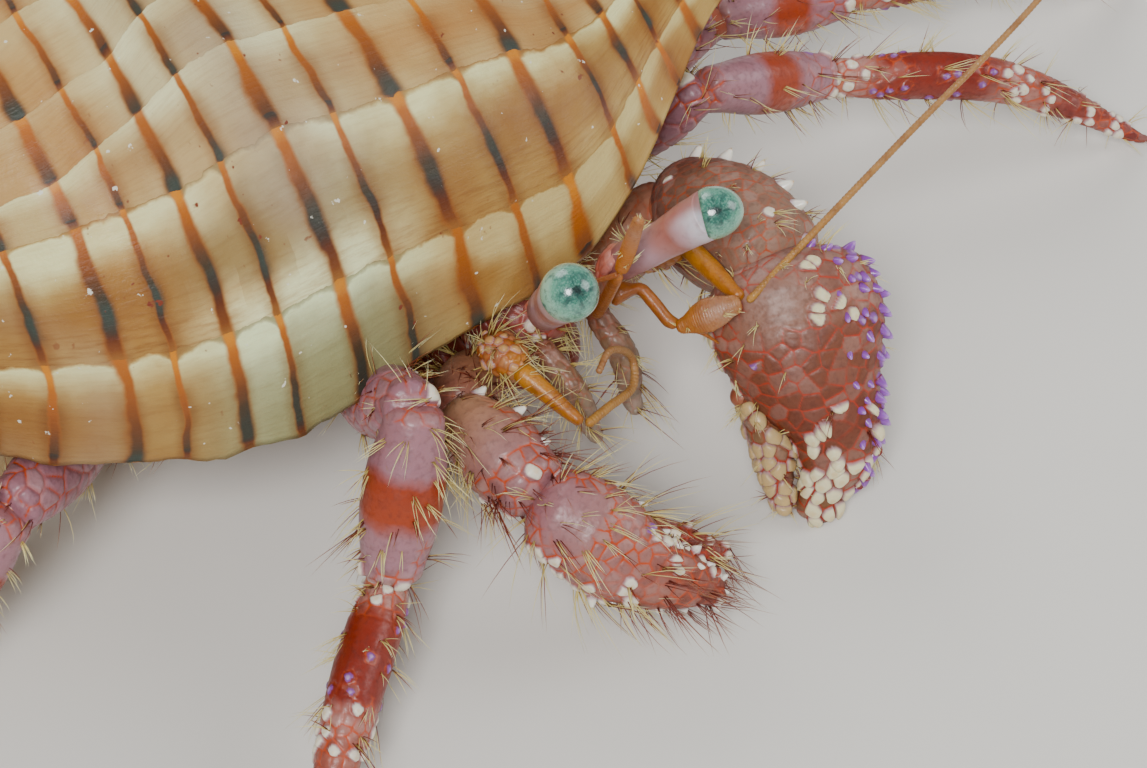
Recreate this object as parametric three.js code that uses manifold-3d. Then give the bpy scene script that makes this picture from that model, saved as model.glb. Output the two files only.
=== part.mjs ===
// Stareye hermit crab in a true tulip shell, life size, in millimetres.
// The crab faces -Y with its left side towards +X and its back towards +Z.
// The shell lies behind it on its side, spire to the crab's right, aperture down and forwards.
// Everything is laid out from the point between the eyestalks, and moved at the end so that
// the origin is under the middle of the whole animal, on the floor that it rests on.

import * as THREE from 'three';
import { mergeVertices } from 'three/addons/utils/BufferGeometryUtils.js';
import Module from 'manifold-3d';

const wasm = await Module();
wasm.setup();

// ---------------------------------------------------------------- driving dimensions

const GAP = 0.3; // clearance between pieces that meet
const FACET_TOLERANCE = 0.03; // facets smaller than this are joined to their neighbours
const WELD = 0.001; // vertices nearer than this are one

const SHELL_LENGTH = 105; // apex to the end of the siphonal canal
const SHELL_WALL = 1.25; // thickness of the outer lip
const WHORL_RATIO = 1.5; // growth of the shell in one whorl
const SHELL_MIDDLE = [-20.6, 28.3, 17.1]; // point on the axis inside the last whorl
const MIDDLE_STATION = 0.53; // its place along the axis, as a share of the length
const SHELL_HEADING = -17; // degrees, from +X to the canal's direction
const SHELL_PITCH = -3; // degrees, the canal end is the lower one
const SPIRE_START = 0.02; // first ring of the blunt apex
const CANAL_END = 0.965; // last ring of the short canal
const LIP_ANGLE = 90; // degrees round the axis from the top towards the front
const LIP_STEP = 0.8; // degrees across which the lip's edge face stands
const LIP_SWEEP = 45; // degrees that the lip falls back along the canal
const CANAL_RISE = 5; // how far the end of the canal bends upwards
const CORE_RADIUS = 0.04; // columella, as a share of the length
const APEX_SLOPE = 0.34; // half width over length at the very tip of the spire
const CAVITY_TURN = 392; // degrees that the hollow runs back from the lip
const SHELL_STATIONS = 33;
const SHELL_SECTORS = 32;

// Half width of the last whorl along the axis, both as shares of the shell's length.
const WHORL_PROFILE = [
  [0.34, 0.09], [0.4, 0.157], [0.43, 0.183], [0.46, 0.204], [0.5, 0.224], [0.55, 0.235],
  [0.6, 0.2355], [0.64, 0.227], [0.68, 0.21], [0.73, 0.196], [0.78, 0.182], [0.83, 0.163],
  [0.87, 0.145], [0.91, 0.115], [0.95, 0.088], [1.0, 0.068], [1.05, 0.04],
];

const EYESTALK_LENGTH = 11.7; // to the tip of the cornea
const EYESTALK_RADIUS = 1.5;
const CORNEA_RADIUS = 1.95;
const CORNEA_DEPTH = 3.2;

const ANTENNULE_RADIUS = 0.45;
const FLAGELLUM_RADIUS = 0.36;
const FLAGELLUM_TIP_RADIUS = 0.26;

// The outer faces of both claws lean back towards this direction.
const CLAW_FACE = new THREE.Vector3(-0.43, -0.478, 0.766);

// Joints of the walking legs from the body outwards: hip, knee, ankle, wrist and toe,
// then the half thickness of each piece between them and the arch of the last one.
const WALKING_LEGS = {
  leg2_right: {
    joints: [[-4.6, 7.5, 7.6], [-14.2, 6, 11.5], [-15.5, -2, 19.3], [-20.1, -4.3, 8],
      [-36.6, -15.3, -0.2]],
    girth: [2.1, 2.5, 2.85, 2.1],
    arch: 2,
  },
  leg3_right: {
    joints: [[-4.6, 11, 7], [-27.4, 16.2, 10.6], [-37.7, 10.9, 15.6], [-45, 12, 8.5], [-60, 10.5, -0.2]],
    girth: [2.1, 2.5, 2.6, 2],
    arch: 2,
  },
  leg2_left: {
    joints: [[4.6, 9, 7.2], [14, 12.4, 10], [18.8, 8.3, 16.3], [30.2, 7.3, 10.6], [51.4, -6.6, -0.2]],
    girth: [2, 2.1, 2.2, 1.85],
    arch: 3.2,
  },
  leg3_left: {
    joints: [[4.4, 12.4, 6.4], [16, 18.4, 7], [28.4, 17, 10.6], [38, 12.6, 10], [63.6, 5.6, -0.2]],
    girth: [1.9, 2.1, 2.3, 1.9],
    arch: 2.6,
  },
};

const ISCHIUM_SHARE = 0.3; // of the way from hip to knee

// Joints of the two chelipeds: hip, knee and wrist, then the half thickness of each piece.
const CHELIPEDS = {
  left: { joints: [[4.4, 5.6, 8], [13.6, 5.8, 11.4], [13.6, -5.6, 14]], girth: [2.7, 4.8] },
  right: { joints: [[-4.4, 5, 8], [-10.4, 0.5, 12.3], [-10.6, -8.1, 12]], girth: [2.4, 3.1] },
};

// Palm with its fixed finger, and the movable finger, of each claw: a path and half sizes.
const CLAWS = {
  left: {
    palm: [[12.9, -5.6, 14.2], [11.9, -8.3, 12], [11.1, -11.2, 8.6], [11, -13.7, 5.6],
      [9.4, -14.5, 2.9], [7.8, -14.1, 0.2]],
    palmWidth: [5.1, 6.1, 5.5, 4.3, 2.9, 2.1, 0.8],
    palmHeight: [2.8, 3.7, 3.8, 3.3, 2.5, 1.8, 0.7],
    finger: [[8, -8.9, 8.6], [7.6, -10.7, 5.4], [6.7, -12.5, 3], [6.2, -13.9, 1.1]],
    fingerWidth: [1.3, 1.7, 1.4, 1.1, 0.5],
    fingerHeight: [1.4, 2.1, 1.8, 1.2, 0.5],
  },
  right: {
    palm: [[-10.7, -8.7, 11.9], [-9.4, -11.2, 10.2], [-7.9, -13.8, 8.1], [-5.7, -16.1, 6.4],
      [-3.6, -17.02, 4.5]],
    palmWidth: [2.7, 3.4, 3.4, 2.7, 2, 1],
    palmHeight: [2.3, 3, 2.9, 2.3, 1.6, 0.8],
    finger: [[-6.3, -13.3, 8.8], [-3.9, -14.9, 7], [-1.2, -15.7, 4.4]],
    fingerWidth: [1, 1.4, 1.2, 0.6],
    fingerHeight: [1.1, 1.5, 1.2, 0.6],
  },
};

// Feelers and mouth limbs: paths from the head outwards with half sizes along them.
const FEELERS = {
  antennule_left_stalk: {
    path: [[2.4, -1, 14.6], [3.8, -1.1, 15.2], [4.4, -4.3, 13.5]],
    radii: [0.5, 0.42, 0.4],
  },
  antennule_left_flagellum: {
    path: [[4.5, -4.9, 13.7], [6, -6, 14.8], [7.6, -7, 15.5]],
    radii: [0.4, 0.8, 0.8, 0.35],
  },
  antennule_right_stalk: {
    path: [[0.6, -1, 14.8], [0.7, -1.8, 16.9], [0.6, -3, 20.1]],
    radii: [0.5, 0.42, 0.4],
  },
  antennule_right_flagellum: {
    path: [[0.7, -3.2, 20.8], [1.7, -3.7, 25.2]],
    radii: [0.45, 0.5, 0.45, 0.35],
  },
  antenna_left_base: {
    path: [[6.6, 2.6, 13.4], [8.9, -0.2, 14.4]],
    radii: [1.2, 1.7, 1.5, 0.9],
  },
  antenna_left_stalk: {
    path: [[9.1, -0.6, 14.8], [8.4, -6.2, 15]],
    radii: [0.8, 0.85, 0.5],
  },
  antenna_right_base: {
    path: [[-5.4, 2.6, 13.2], [-5.9, -0.6, 14.2]],
    radii: [1.2, 1.8, 1.7, 1],
  },
  antenna_right_stalk: {
    path: [[-6, -1, 14.1], [-5, -5.4, 12.4]],
    radii: [0.85, 0.7, 0.5],
  },
  maxilliped_left: {
    path: [[2.6, 1.4, 11.4], [2.6, -1.6, 9.6], [1.9, -3.2, 6]],
    radii: [0.9, 1.2, 1, 0.6],
  },
  maxilliped_right: {
    path: [[-2.2, 1.4, 11.4], [-2, -1.8, 9.6], [-1.6, -3.2, 6]],
    radii: [0.9, 1.2, 1, 0.6],
  },
};

// The small fourth legs brace the crab against the inside of the shell.
const BRACING_LEGS = {
  leg4_left: {
    path: [[3.4, 14.6, 7.6], [6.6, 17.6, 9], [8, 16, 12]],
    radii: [0.8, 1.1, 0.9, 0.6],
  },
  leg4_right: {
    path: [[-3.4, 14, 7.6], [-7.2, 16.6, 9], [-8.6, 14.4, 12.4]],
    radii: [0.8, 1.1, 0.9, 0.6],
  },
};

// The long whips of the antennae.
const WHIPS = {
  antenna_left_flagellum: [[8.5, -7, 15.1], [22.8, -6.5, 19.9], [34.9, -6.7, 25],
    [47, -5, 29], [58, -1.5, 31]],
  antenna_right_flagellum: [[-4.8, -6, 12.2], [-2.4, -5.4, 11.5], [0.9, -4.2, 9.9],
    [1.9, -2.9, 11.1], [-0.6, -3.6, 14.2], [-2.6, -4.6, 14.4]],
};

// ---------------------------------------------------------------- helpers

const v = (x, y, z) => new THREE.Vector3(x, y, z);
const rad = (degrees) => THREE.MathUtils.degToRad(degrees);
const UP = v(0, 0, 1);

/** Value of a list of [place, value] pairs at a place, in straight steps. */
function lookUp(pairs, place) {
  if (place <= pairs[0][0]) return pairs[0][1];
  for (let i = 1; i < pairs.length; i += 1) {
    const [x1, y1] = pairs[i];
    if (place <= x1) {
      const [x0, y0] = pairs[i - 1];
      return y0 + ((y1 - y0) * (place - x0)) / (x1 - x0);
    }
  }
  return pairs[pairs.length - 1][1];
}

/** Value of an evenly spaced profile at u from 0 to 1, half eased between its values. */
function profile(values, u) {
  const place = u * (values.length - 1);
  const i = Math.min(Math.floor(place), values.length - 2);
  const t = place - i;
  const eased = THREE.MathUtils.smoothstep(t, 0, 1);
  return THREE.MathUtils.lerp(values[i], values[i + 1], (t + eased) / 2);
}

/** A closed geometry as a solid that can be cut and joined. */
function toSolid(geometry) {
  const bare = geometry.clone();
  bare.deleteAttribute('normal');
  bare.deleteAttribute('uv');
  const merged = mergeVertices(bare, WELD);
  const mesh = new wasm.Mesh({
    numProp: 3,
    vertProperties: new Float32Array(merged.attributes.position.array),
    triVerts: new Uint32Array(merged.index.array),
  });
  return new wasm.Manifold(mesh);
}

/** A solid back to a geometry. */
function toGeometry(solid) {
  const mesh = solid.getMesh();
  const geometry = new THREE.BufferGeometry();
  geometry.setAttribute('position', new THREE.BufferAttribute(mesh.vertProperties, 3));
  geometry.setIndex(new THREE.BufferAttribute(mesh.triVerts, 1));
  return geometry;
}

/** The largest single piece of a solid, which drops slivers that a cut leaves. */
function largest(solid) {
  const pieces = solid.decompose();
  pieces.sort((a, b) => b.volume() - a.volume());
  return pieces[0];
}

/** Closed solid through rings of equal count, its two ends closed by flat fans. */
function loft(rings) {
  const count = rings[0].length;
  const index = [];
  for (let i = 0; i + 1 < rings.length; i += 1) {
    for (let j = 0; j < count; j += 1) {
      const a = i * count + j;
      const b = i * count + ((j + 1) % count);
      index.push(a, b, b + count, a, b + count, a + count);
    }
  }
  const last = (rings.length - 1) * count;
  for (let j = 1; j + 1 < count; j += 1) {
    index.push(0, j + 1, j, last, last + j, last + j + 1);
  }
  const geometry = new THREE.BufferGeometry().setFromPoints(rings.flat());
  geometry.setIndex(index);
  const solid = toSolid(geometry);
  if (solid.volume() > 0) return solid;
  const order = geometry.index.array;
  for (let i = 0; i < order.length; i += 3) {
    [order[i], order[i + 1]] = [order[i + 1], order[i]];
  }
  return toSolid(geometry);
}

/**
 * A limb piece: oval rings along a smooth path. Width lies across the path and the given up
 * direction, height lies along it. Both are profiles of half sizes from one end to the other.
 */
function limb(points, width, height, { up = UP, sides = 8, steps = 6, grow = 0 } = {}) {
  const curve = new THREE.CatmullRomCurve3(points.map((p) => v(...p)), false, 'centripetal');
  const rings = [];
  for (let i = 0; i <= steps; i += 1) {
    const u = i / steps;
    const along = curve.getTangentAt(u);
    const centre = curve.getPointAt(u).addScaledVector(along, grow * (2 * u - 1));
    const across = along.clone().cross(up).normalize();
    const top = across.clone().cross(along).normalize();
    const w = profile(width, u) + grow;
    const h = profile(height, u) + grow;
    const ring = [];
    for (let j = 0; j < sides; j += 1) {
      const angle = (2 * Math.PI * j) / sides;
      const point = centre.clone().addScaledVector(across, w * Math.cos(angle));
      ring.push(point.addScaledVector(top, h * Math.sin(angle)));
    }
    rings.push(ring);
  }
  return loft(rings);
}

/** An egg with its half sizes along X, Y and Z, its rings standing across Y. */
function egg(centre, half, { sides = 10, steps = 7, grow = 0 } = {}) {
  const [hx, hy, hz] = half.map((size) => size + grow);
  const rings = [];
  for (let i = 0; i <= steps; i += 1) {
    const angle = Math.PI * (0.05 + (0.9 * i) / steps);
    const ring = [];
    for (let j = 0; j < sides; j += 1) {
      const turn = (2 * Math.PI * j) / sides;
      ring.push(v(
        centre[0] + hx * Math.sin(angle) * Math.cos(turn),
        centre[1] + hy * Math.cos(angle),
        centre[2] + hz * Math.sin(angle) * Math.sin(turn),
      ));
    }
    rings.push(ring);
  }
  return loft(rings);
}

/** Everything below the floor, which cuts the small flats that the part rests on. */
function belowFloor() {
  const reach = 400;
  const depth = 60;
  const slab = new THREE.BoxGeometry(reach, reach, depth);
  slab.translate(0, 0, -depth / 2);
  return toSolid(slab);
}

// ---------------------------------------------------------------- shell

const heading = rad(SHELL_HEADING);
const pitch = rad(SHELL_PITCH);
const shellAxis = v(
  Math.cos(heading) * Math.cos(pitch),
  Math.sin(heading) * Math.cos(pitch),
  Math.sin(pitch),
);
const shellFront = v(Math.sin(heading), -Math.cos(heading), 0);
const shellTop = shellFront.clone().cross(shellAxis).normalize();
const shellApex = v(...SHELL_MIDDLE).addScaledVector(shellAxis, -MIDDLE_STATION * SHELL_LENGTH);

/** Size of the whorl that lies the given degrees behind the lip, 1 at the lip. */
const whorlScale = (back) => WHORL_RATIO ** (-back / 360);

/**
 * A point of the shell from its place along the axis, its radius, both as shares of the length,
 * and its angle from the top towards the front. The canal end twists back and bends upwards.
 */
function shellPoint(station, radius, angle) {
  const canalStart = 0.8;
  const late = THREE.MathUtils.smoothstep(station, canalStart, 1);
  const turn = rad(angle - LIP_SWEEP * late);
  const rise = CANAL_RISE * Math.max(0, (station - canalStart) / (1 - canalStart)) ** 2;
  return shellApex.clone()
    .addScaledVector(shellAxis, station * SHELL_LENGTH)
    .addScaledVector(shellTop, radius * SHELL_LENGTH * Math.cos(turn) + rise)
    .addScaledVector(shellFront, radius * SHELL_LENGTH * Math.sin(turn));
}

/** Outer radius: the widest of all whorls that pass this station and angle, or the columella. */
function shellRadius(station, back) {
  const [from] = WHORL_PROFILE[0];
  const [to] = WHORL_PROFILE[WHORL_PROFILE.length - 1];
  let radius = Math.min(CORE_RADIUS, APEX_SLOPE * station);
  for (let turns = 0; turns < 9; turns += 1) {
    const scale = whorlScale(back + 360 * turns);
    const place = station / scale;
    if (place >= from && place <= to) {
      radius = Math.max(radius, scale * lookUp(WHORL_PROFILE, place));
    }
  }
  return radius;
}

/** The shell as if solid: rings round the axis, each with a step where the lip stands. */
function shellBody() {
  const crowding = 1.25;
  const rings = [];
  for (let i = 0; i < SHELL_STATIONS; i += 1) {
    const u = i / (SHELL_STATIONS - 1);
    const station = SPIRE_START + (CANAL_END - SPIRE_START) * u ** crowding;
    const ring = [];
    for (let j = 0; j <= SHELL_SECTORS; j += 1) {
      const back = (360 * j) / SHELL_SECTORS;
      const angle = LIP_ANGLE - Math.min(back, 360 - LIP_STEP);
      ring.push(shellPoint(station, shellRadius(station, back), angle));
    }
    rings.push(ring);
  }
  return loft(rings);
}

/** The hollow between the outer wall and the whorl inside it, swept back from the lip. */
function shellCavity() {
  const wall = SHELL_WALL / SHELL_LENGTH;
  const from = 0.42;
  const to = 0.93;
  const count = 8;
  const overrun = 8;
  const step = 20;
  const places = Array.from({ length: count }, (_, i) => from + ((to - from) * i) / (count - 1));
  const outer = places.map((place) => [place, lookUp(WHORL_PROFILE, place) - wall]);
  const inner = outer.map(([place, radius]) => [
    place,
    Math.min(shellRadius(place, 360) + 1.2 * wall, radius - 0.4 * wall),
  ]);
  const section = [...outer, ...inner.reverse()];
  const rings = [];
  for (let back = -overrun; back <= CAVITY_TURN; back += step) {
    const scale = whorlScale(back);
    rings.push(section.map(([place, radius]) => (
      shellPoint(scale * place, scale * radius, LIP_ANGLE - back)
    )));
  }
  return loft(rings);
}

// ---------------------------------------------------------------- the animal

const floor = belowFloor();
const clearance = {}; // each placed solid, grown by the gap
const pieces = []; // the placed solids with their names and looks

/** Adds one piece, cut clear of the named neighbours and of the floor. */
function place(name, build, colour, roughness, neighbours = []) {
  let solid = build(0).subtract(floor);
  for (const neighbour of neighbours) {
    solid = solid.subtract(clearance[neighbour]);
  }
  clearance[name] = build(GAP);
  const look = new THREE.MeshStandardMaterial({ color: colour, roughness, metalness: 0 });
  pieces.push({ name, solid: largest(solid), look });
}

place('shell', () => shellBody().subtract(shellCavity()), '#c8965a', 0.4);

// The hard front shield of the back, the thorax that carries the limbs, and the soft tail that
// follows the hollow of the shell.
place('carapace_shield', (grow) => egg([0, 7.6, 11.8], [5, 6.2, 3.2], { grow }), '#a8606a', 0.45);
place('thorax', (grow) => egg([0, 9.4, 7], [3.8, 6.6, 2.8], { grow }), '#b87868', 0.5, [
  'carapace_shield',
]);
const tailPath = [];
for (let back = 12; back <= 132; back += 24) {
  const scale = whorlScale(back);
  const centre = shellPoint(scale * 0.7, scale * 0.112, LIP_ANGLE - back);
  tailPath.push(centre.toArray());
}
const tailSize = [1.8, 2.9, 3.4, 3.3, 2.7, 1.6];
place('abdomen', (grow) => limb(tailPath, tailSize, tailSize, { steps: 8, grow }), '#c08a78', 0.55, [
  'carapace_shield', 'thorax',
]);

// Eyestalks with their corneas.
const EYES = {
  left: { base: v(3.2, 0, 16.8), tip: v(8, -6.7, 25.5) },
  right: { base: v(-3, -0.1, 17), tip: v(-5.6, -5.8, 25.9) },
};
for (const [side, { base, tip }] of Object.entries(EYES)) {
  const aim = tip.clone().sub(base).normalize();
  const along = (distance) => base.clone().addScaledVector(aim, distance).toArray();
  const stalk = [0.9, 1.02, 0.88, 0.9, 1.08].map((share) => share * EYESTALK_RADIUS);
  const cornea = [0.86, 0.99, 1, 0.88, 0.45].map((share) => share * CORNEA_RADIUS);
  const border = EYESTALK_LENGTH - CORNEA_DEPTH;
  place(`eyestalk_${side}`, (grow) => (
    limb([along(0), along(border)], stalk, stalk, { sides: 10, grow })
  ), '#b08a98', 0.4, ['shell', 'carapace_shield']);
  place(`cornea_${side}`, (grow) => (
    limb([along(border + GAP), along(EYESTALK_LENGTH)], cornea, cornea, { sides: 12, grow })
  ), '#6fb09a', 0.12);
}

// Feelers and mouth limbs, then the whips of the antennae.
for (const [name, { path, radii }] of Object.entries(FEELERS)) {
  const colour = name.startsWith('maxilliped') ? '#b06a50' : '#c87a20';
  const base = name.replace('stalk', 'base');
  const before = FEELERS[base] && base !== name ? [base] : [];
  place(name, (grow) => limb(path, radii, radii, { sides: 6, steps: 5, grow }), colour, 0.45, [
    'shell', 'carapace_shield', 'thorax', ...before,
  ]);
}
for (const [name, path] of Object.entries(WHIPS)) {
  const radii = [FLAGELLUM_RADIUS, FLAGELLUM_TIP_RADIUS];
  place(name, (grow) => limb(path, radii, radii, { sides: 6, steps: 16, grow }), '#b87a30', 0.45);
}

// A limb piece between two joints, swollen between its thinner ends.
function segment(start, end, girth, { arch = 0, shares = [0.6, 0.95, 1.04, 1, 0.68], ...rest } = {}) {
  const from = v(...start);
  const to = v(...end);
  const inset = to.clone().sub(from).setLength(GAP);
  from.add(inset);
  to.sub(inset);
  const middle = from.clone().add(to).divideScalar(2).add(v(0, 0, arch));
  const path = [from, middle, to].map((point) => point.toArray());
  const height = shares.map((share) => share * girth);
  const width = height.map((size) => 0.9 * size);
  return limb(path, width, height, rest);
}

for (const [side, { joints, girth }] of Object.entries(CHELIPEDS)) {
  const [hip, knee, wrist] = joints;
  const name = `cheliped_${side}`;
  const claw = CLAWS[side];
  const face = { up: CLAW_FACE, sides: 10 };
  place(`${name}_merus`, (grow) => segment(hip, knee, girth[0], { grow }), '#c08a6a', 0.45, [
    'shell', 'thorax', 'carapace_shield', `antenna_${side}_base`, `maxilliped_${side}`,
  ]);
  place(`${name}_carpus`, (grow) => segment(knee, wrist, girth[1], { ...face, grow }), '#b07888', 0.45, [
    'shell', 'carapace_shield', `${name}_merus`, `antenna_${side}_base`, `antenna_${side}_stalk`,
    `antenna_${side}_flagellum`,
  ]);
  place(`${name}_palm`, (grow) => (
    limb(claw.palm, claw.palmWidth, claw.palmHeight, { ...face, steps: 9, grow })
  ), '#b0605a', 0.45, [`${name}_carpus`, `antenna_${side}_flagellum`, `antenna_${side}_stalk`]);
  place(`${name}_finger`, (grow) => (
    limb(claw.finger, claw.fingerWidth, claw.fingerHeight, { ...face, grow })
  ), '#a86a50', 0.45, [`${name}_palm`]);
}

for (const [name, { joints, girth, arch }] of Object.entries(WALKING_LEGS)) {
  const [hip, knee, ankle, wrist, toe] = joints;
  const side = name.split('_')[1];
  const claw = [0.68, 1, 0.98, 0.88, 0.7, 0.42, 0.16];
  const root = v(...hip).lerp(v(...knee), ISCHIUM_SHARE).toArray();
  const forward = name.startsWith('leg3') ? [`leg2_${side}_ischium`, `leg2_${side}_merus`] : [];
  place(`${name}_ischium`, (grow) => segment(hip, root, 0.9 * girth[0], { grow }), '#a8604a', 0.45, [
    'shell', 'thorax', 'carapace_shield', `cheliped_${side}_merus`, ...forward,
  ]);
  place(`${name}_merus`, (grow) => segment(root, knee, girth[0], { grow }), '#a8503a', 0.45, [
    'shell', `${name}_ischium`, `cheliped_${side}_merus`, `cheliped_${side}_carpus`, ...forward,
  ]);
  place(`${name}_carpus`, (grow) => segment(knee, ankle, girth[1], { grow }), '#b08a98', 0.4, [
    'shell', `${name}_merus`, `cheliped_${side}_carpus`,
  ]);
  place(`${name}_propodus`, (grow) => segment(ankle, wrist, girth[2], { grow }), '#b83a18', 0.4, [
    `${name}_carpus`,
  ]);
  place(`${name}_dactyl`, (grow) => (
    segment(wrist, toe, girth[3], { arch, shares: claw, steps: 8, grow })
  ), '#c84a20', 0.4, [`${name}_propodus`]);
}

for (const [name, { path, radii }] of Object.entries(BRACING_LEGS)) {
  const side = name.split('_')[1];
  place(name, (grow) => limb(path, radii, radii, { sides: 6, grow }), '#b88a70', 0.5, [
    'shell', 'thorax', 'carapace_shield', 'abdomen', `leg3_${side}_ischium`, `leg3_${side}_merus`,
  ]);
}

// The origin goes under the middle of the whole animal.
const box = new THREE.Box3();
for (const { solid } of pieces) {
  const { min, max } = solid.boundingBox();
  box.expandByPoint(v(...min)).expandByPoint(v(...max));
}
const middle = box.getCenter(v(0, 0, 0));

const crab = new THREE.Group();
for (const { name, solid, look } of pieces) {
  const moved = solid.translate(-middle.x, -middle.y, 0).simplify(FACET_TOLERANCE);
  const mesh = new THREE.Mesh(toGeometry(largest(toSolid(toGeometry(moved)))), look);
  mesh.name = name;
  crab.add(mesh);
}

export default crab;
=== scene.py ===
import functools
import math

import bpy
import numpy as np
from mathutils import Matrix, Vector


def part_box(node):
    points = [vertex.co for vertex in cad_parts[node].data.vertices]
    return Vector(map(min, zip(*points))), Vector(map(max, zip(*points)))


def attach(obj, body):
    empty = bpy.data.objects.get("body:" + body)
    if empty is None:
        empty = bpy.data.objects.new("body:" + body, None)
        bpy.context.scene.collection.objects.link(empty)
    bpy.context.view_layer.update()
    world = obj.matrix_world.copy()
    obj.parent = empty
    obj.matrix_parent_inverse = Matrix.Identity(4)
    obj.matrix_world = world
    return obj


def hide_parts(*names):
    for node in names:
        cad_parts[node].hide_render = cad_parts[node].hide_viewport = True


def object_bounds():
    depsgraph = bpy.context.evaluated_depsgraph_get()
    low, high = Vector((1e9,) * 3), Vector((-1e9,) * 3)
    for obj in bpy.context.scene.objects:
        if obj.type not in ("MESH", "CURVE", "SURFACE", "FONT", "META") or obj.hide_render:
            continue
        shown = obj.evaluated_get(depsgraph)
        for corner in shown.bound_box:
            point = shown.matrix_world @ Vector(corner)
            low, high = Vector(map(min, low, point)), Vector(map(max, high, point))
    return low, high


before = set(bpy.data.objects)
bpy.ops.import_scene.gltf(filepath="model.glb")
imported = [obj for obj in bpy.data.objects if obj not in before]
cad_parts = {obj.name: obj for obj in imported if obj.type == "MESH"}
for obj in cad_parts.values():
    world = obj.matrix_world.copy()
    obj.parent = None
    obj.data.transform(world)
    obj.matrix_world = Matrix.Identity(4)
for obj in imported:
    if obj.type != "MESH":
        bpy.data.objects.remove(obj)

bl_info = {
    "name": "Hermit crab in a tulip shell",
    "version": (1, 0, 0),
    "blender": (4, 5, 0),
    "location": "View3D > Sidebar > Crab",
    "description": "Builds a life-size hermit crab in its snail shell round its measured frame",
    "category": "Add Mesh",
}

CAD_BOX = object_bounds()
MM = 0.001
FULL = 2 * math.pi
SKINS = {}  # finished limb surfaces that the hairs grow from, by piece name


# ---------------------------------------------------------------- numbers

def unit(vectors):
    """Each vector divided by its length."""
    length = np.linalg.norm(vectors, axis=-1, keepdims=True)
    return vectors / np.maximum(length, 1e-12)


def ease(x, low, high):
    """0 below low, 1 above high, and 3t^2 - 2t^3 between them."""
    t = np.clip((x - low) / (high - low), 0, 1)
    return t * t * (3 - 2 * t)


def waves(x, y, seed, octaves=4):
    """Smooth noise about 0 with size about 1: a sum of sines in random directions, each
    octave twice as fine and 0.6 as high as the one before."""
    random = np.random.default_rng(seed)
    total = np.zeros(np.broadcast(x, y).shape)
    for octave in range(octaves):
        for _ in range(4):
            turn = random.uniform(0, FULL)
            shift = random.uniform(0, FULL)
            reach = 2 ** octave * random.uniform(0.7, 1.4)
            total += 0.6 ** octave * np.sin(reach * (x * np.cos(turn) + y * np.sin(turn)) + shift)
    return total / 3


def smooth(points, places, *profiles):
    """A Catmull-Rom curve through the points, read at shares of its own length, with its
    unit tangents, its length, and each profile of values given at the points."""
    points = np.asarray(points, float)
    count = len(points)
    t = np.linspace(0, count - 1, 60 * count)
    i = np.minimum(t.astype(int), count - 2)
    f = (t - i)[:, None]
    slope = np.gradient(points, axis=0)
    curve = (
        (2 * f**3 - 3 * f**2 + 1) * points[i] + (f**3 - 2 * f**2 + f) * slope[i]
        + (3 * f**2 - 2 * f**3) * points[i + 1] + (f**3 - f**2) * slope[i + 1]
    )
    gone = np.concatenate([[0], np.cumsum(np.linalg.norm(np.diff(curve, axis=0), axis=1))])
    at = np.asarray(places) * gone[-1]
    line = np.stack([np.interp(at, gone, curve[:, k]) for k in range(3)], 1)
    knots = np.interp(at, gone, t)
    read = [np.interp(knots, np.arange(count), np.asarray(p, float)) for p in profiles]
    return line, unit(np.gradient(line, axis=0)), gone[-1], read


# ---------------------------------------------------------------- measuring the frame

def corners(node):
    """All vertices of a CAD node and its edges as pairs of vertex numbers."""
    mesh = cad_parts[node].data
    points = np.empty(3 * len(mesh.vertices))
    mesh.vertices.foreach_get("co", points)
    edges = np.empty(2 * len(mesh.edges), int)
    mesh.edges.foreach_get("vertices", edges)
    return points.reshape(-1, 3), edges.reshape(-1, 2)


def meeting(first, second):
    """The joint between two CAD nodes: the mean of the ends where they come closest."""
    a, _ = corners(first)
    b, _ = corners(second)
    gap = np.linalg.norm(a[:, None] - b[None], axis=2)
    reach = gap.min() + 0.9 * MM
    end_a = a[gap.min(1) < reach]
    end_b = b[gap.min(0) < reach]
    return (end_a.mean(0) + end_b.mean(0)) / 2


def far_end(node, away):
    """The tip of a CAD node: the mean of its vertices within 0.4 mm of the farthest from a point."""
    points, _ = corners(node)
    reach = np.linalg.norm(points - away, axis=1)
    return points[reach > reach.max() - 0.4 * MM].mean(0)


def sections(node, start, end, up, shares):
    """Centres, half widths and half heights of a CAD node where planes square to the line from
    start to end, at shares of the node's own length, cut its edges, then the directions across
    and up in those planes and the node's lowest and highest place on the line."""
    points, edges = corners(node)
    along = unit(end - start)
    across = unit(np.cross(along, up))
    top = np.cross(across, along)
    reach = points @ along
    low, high = reach.min(), reach.max()
    centres, widths, heights = [], [], []
    for share in shares:
        place = low + share * (high - low)
        side = reach - place
        a, b = side[edges[:, 0]], side[edges[:, 1]]
        cut = a * b < 0
        f = (a[cut] / (a[cut] - b[cut]))[:, None]
        ring = points[edges[cut, 0]] * (1 - f) + points[edges[cut, 1]] * f
        x, y = ring @ across, ring @ top
        middle = (x.max() + x.min()) / 2 * across + (y.max() + y.min()) / 2 * top
        centres.append(middle + along * place)
        widths.append((x.max() - x.min()) / 2)
        heights.append((y.max() - y.min()) / 2)
    return np.array(centres), np.array(widths), np.array(heights), (along, across, top), (low, high)


# ---------------------------------------------------------------- making meshes

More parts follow.
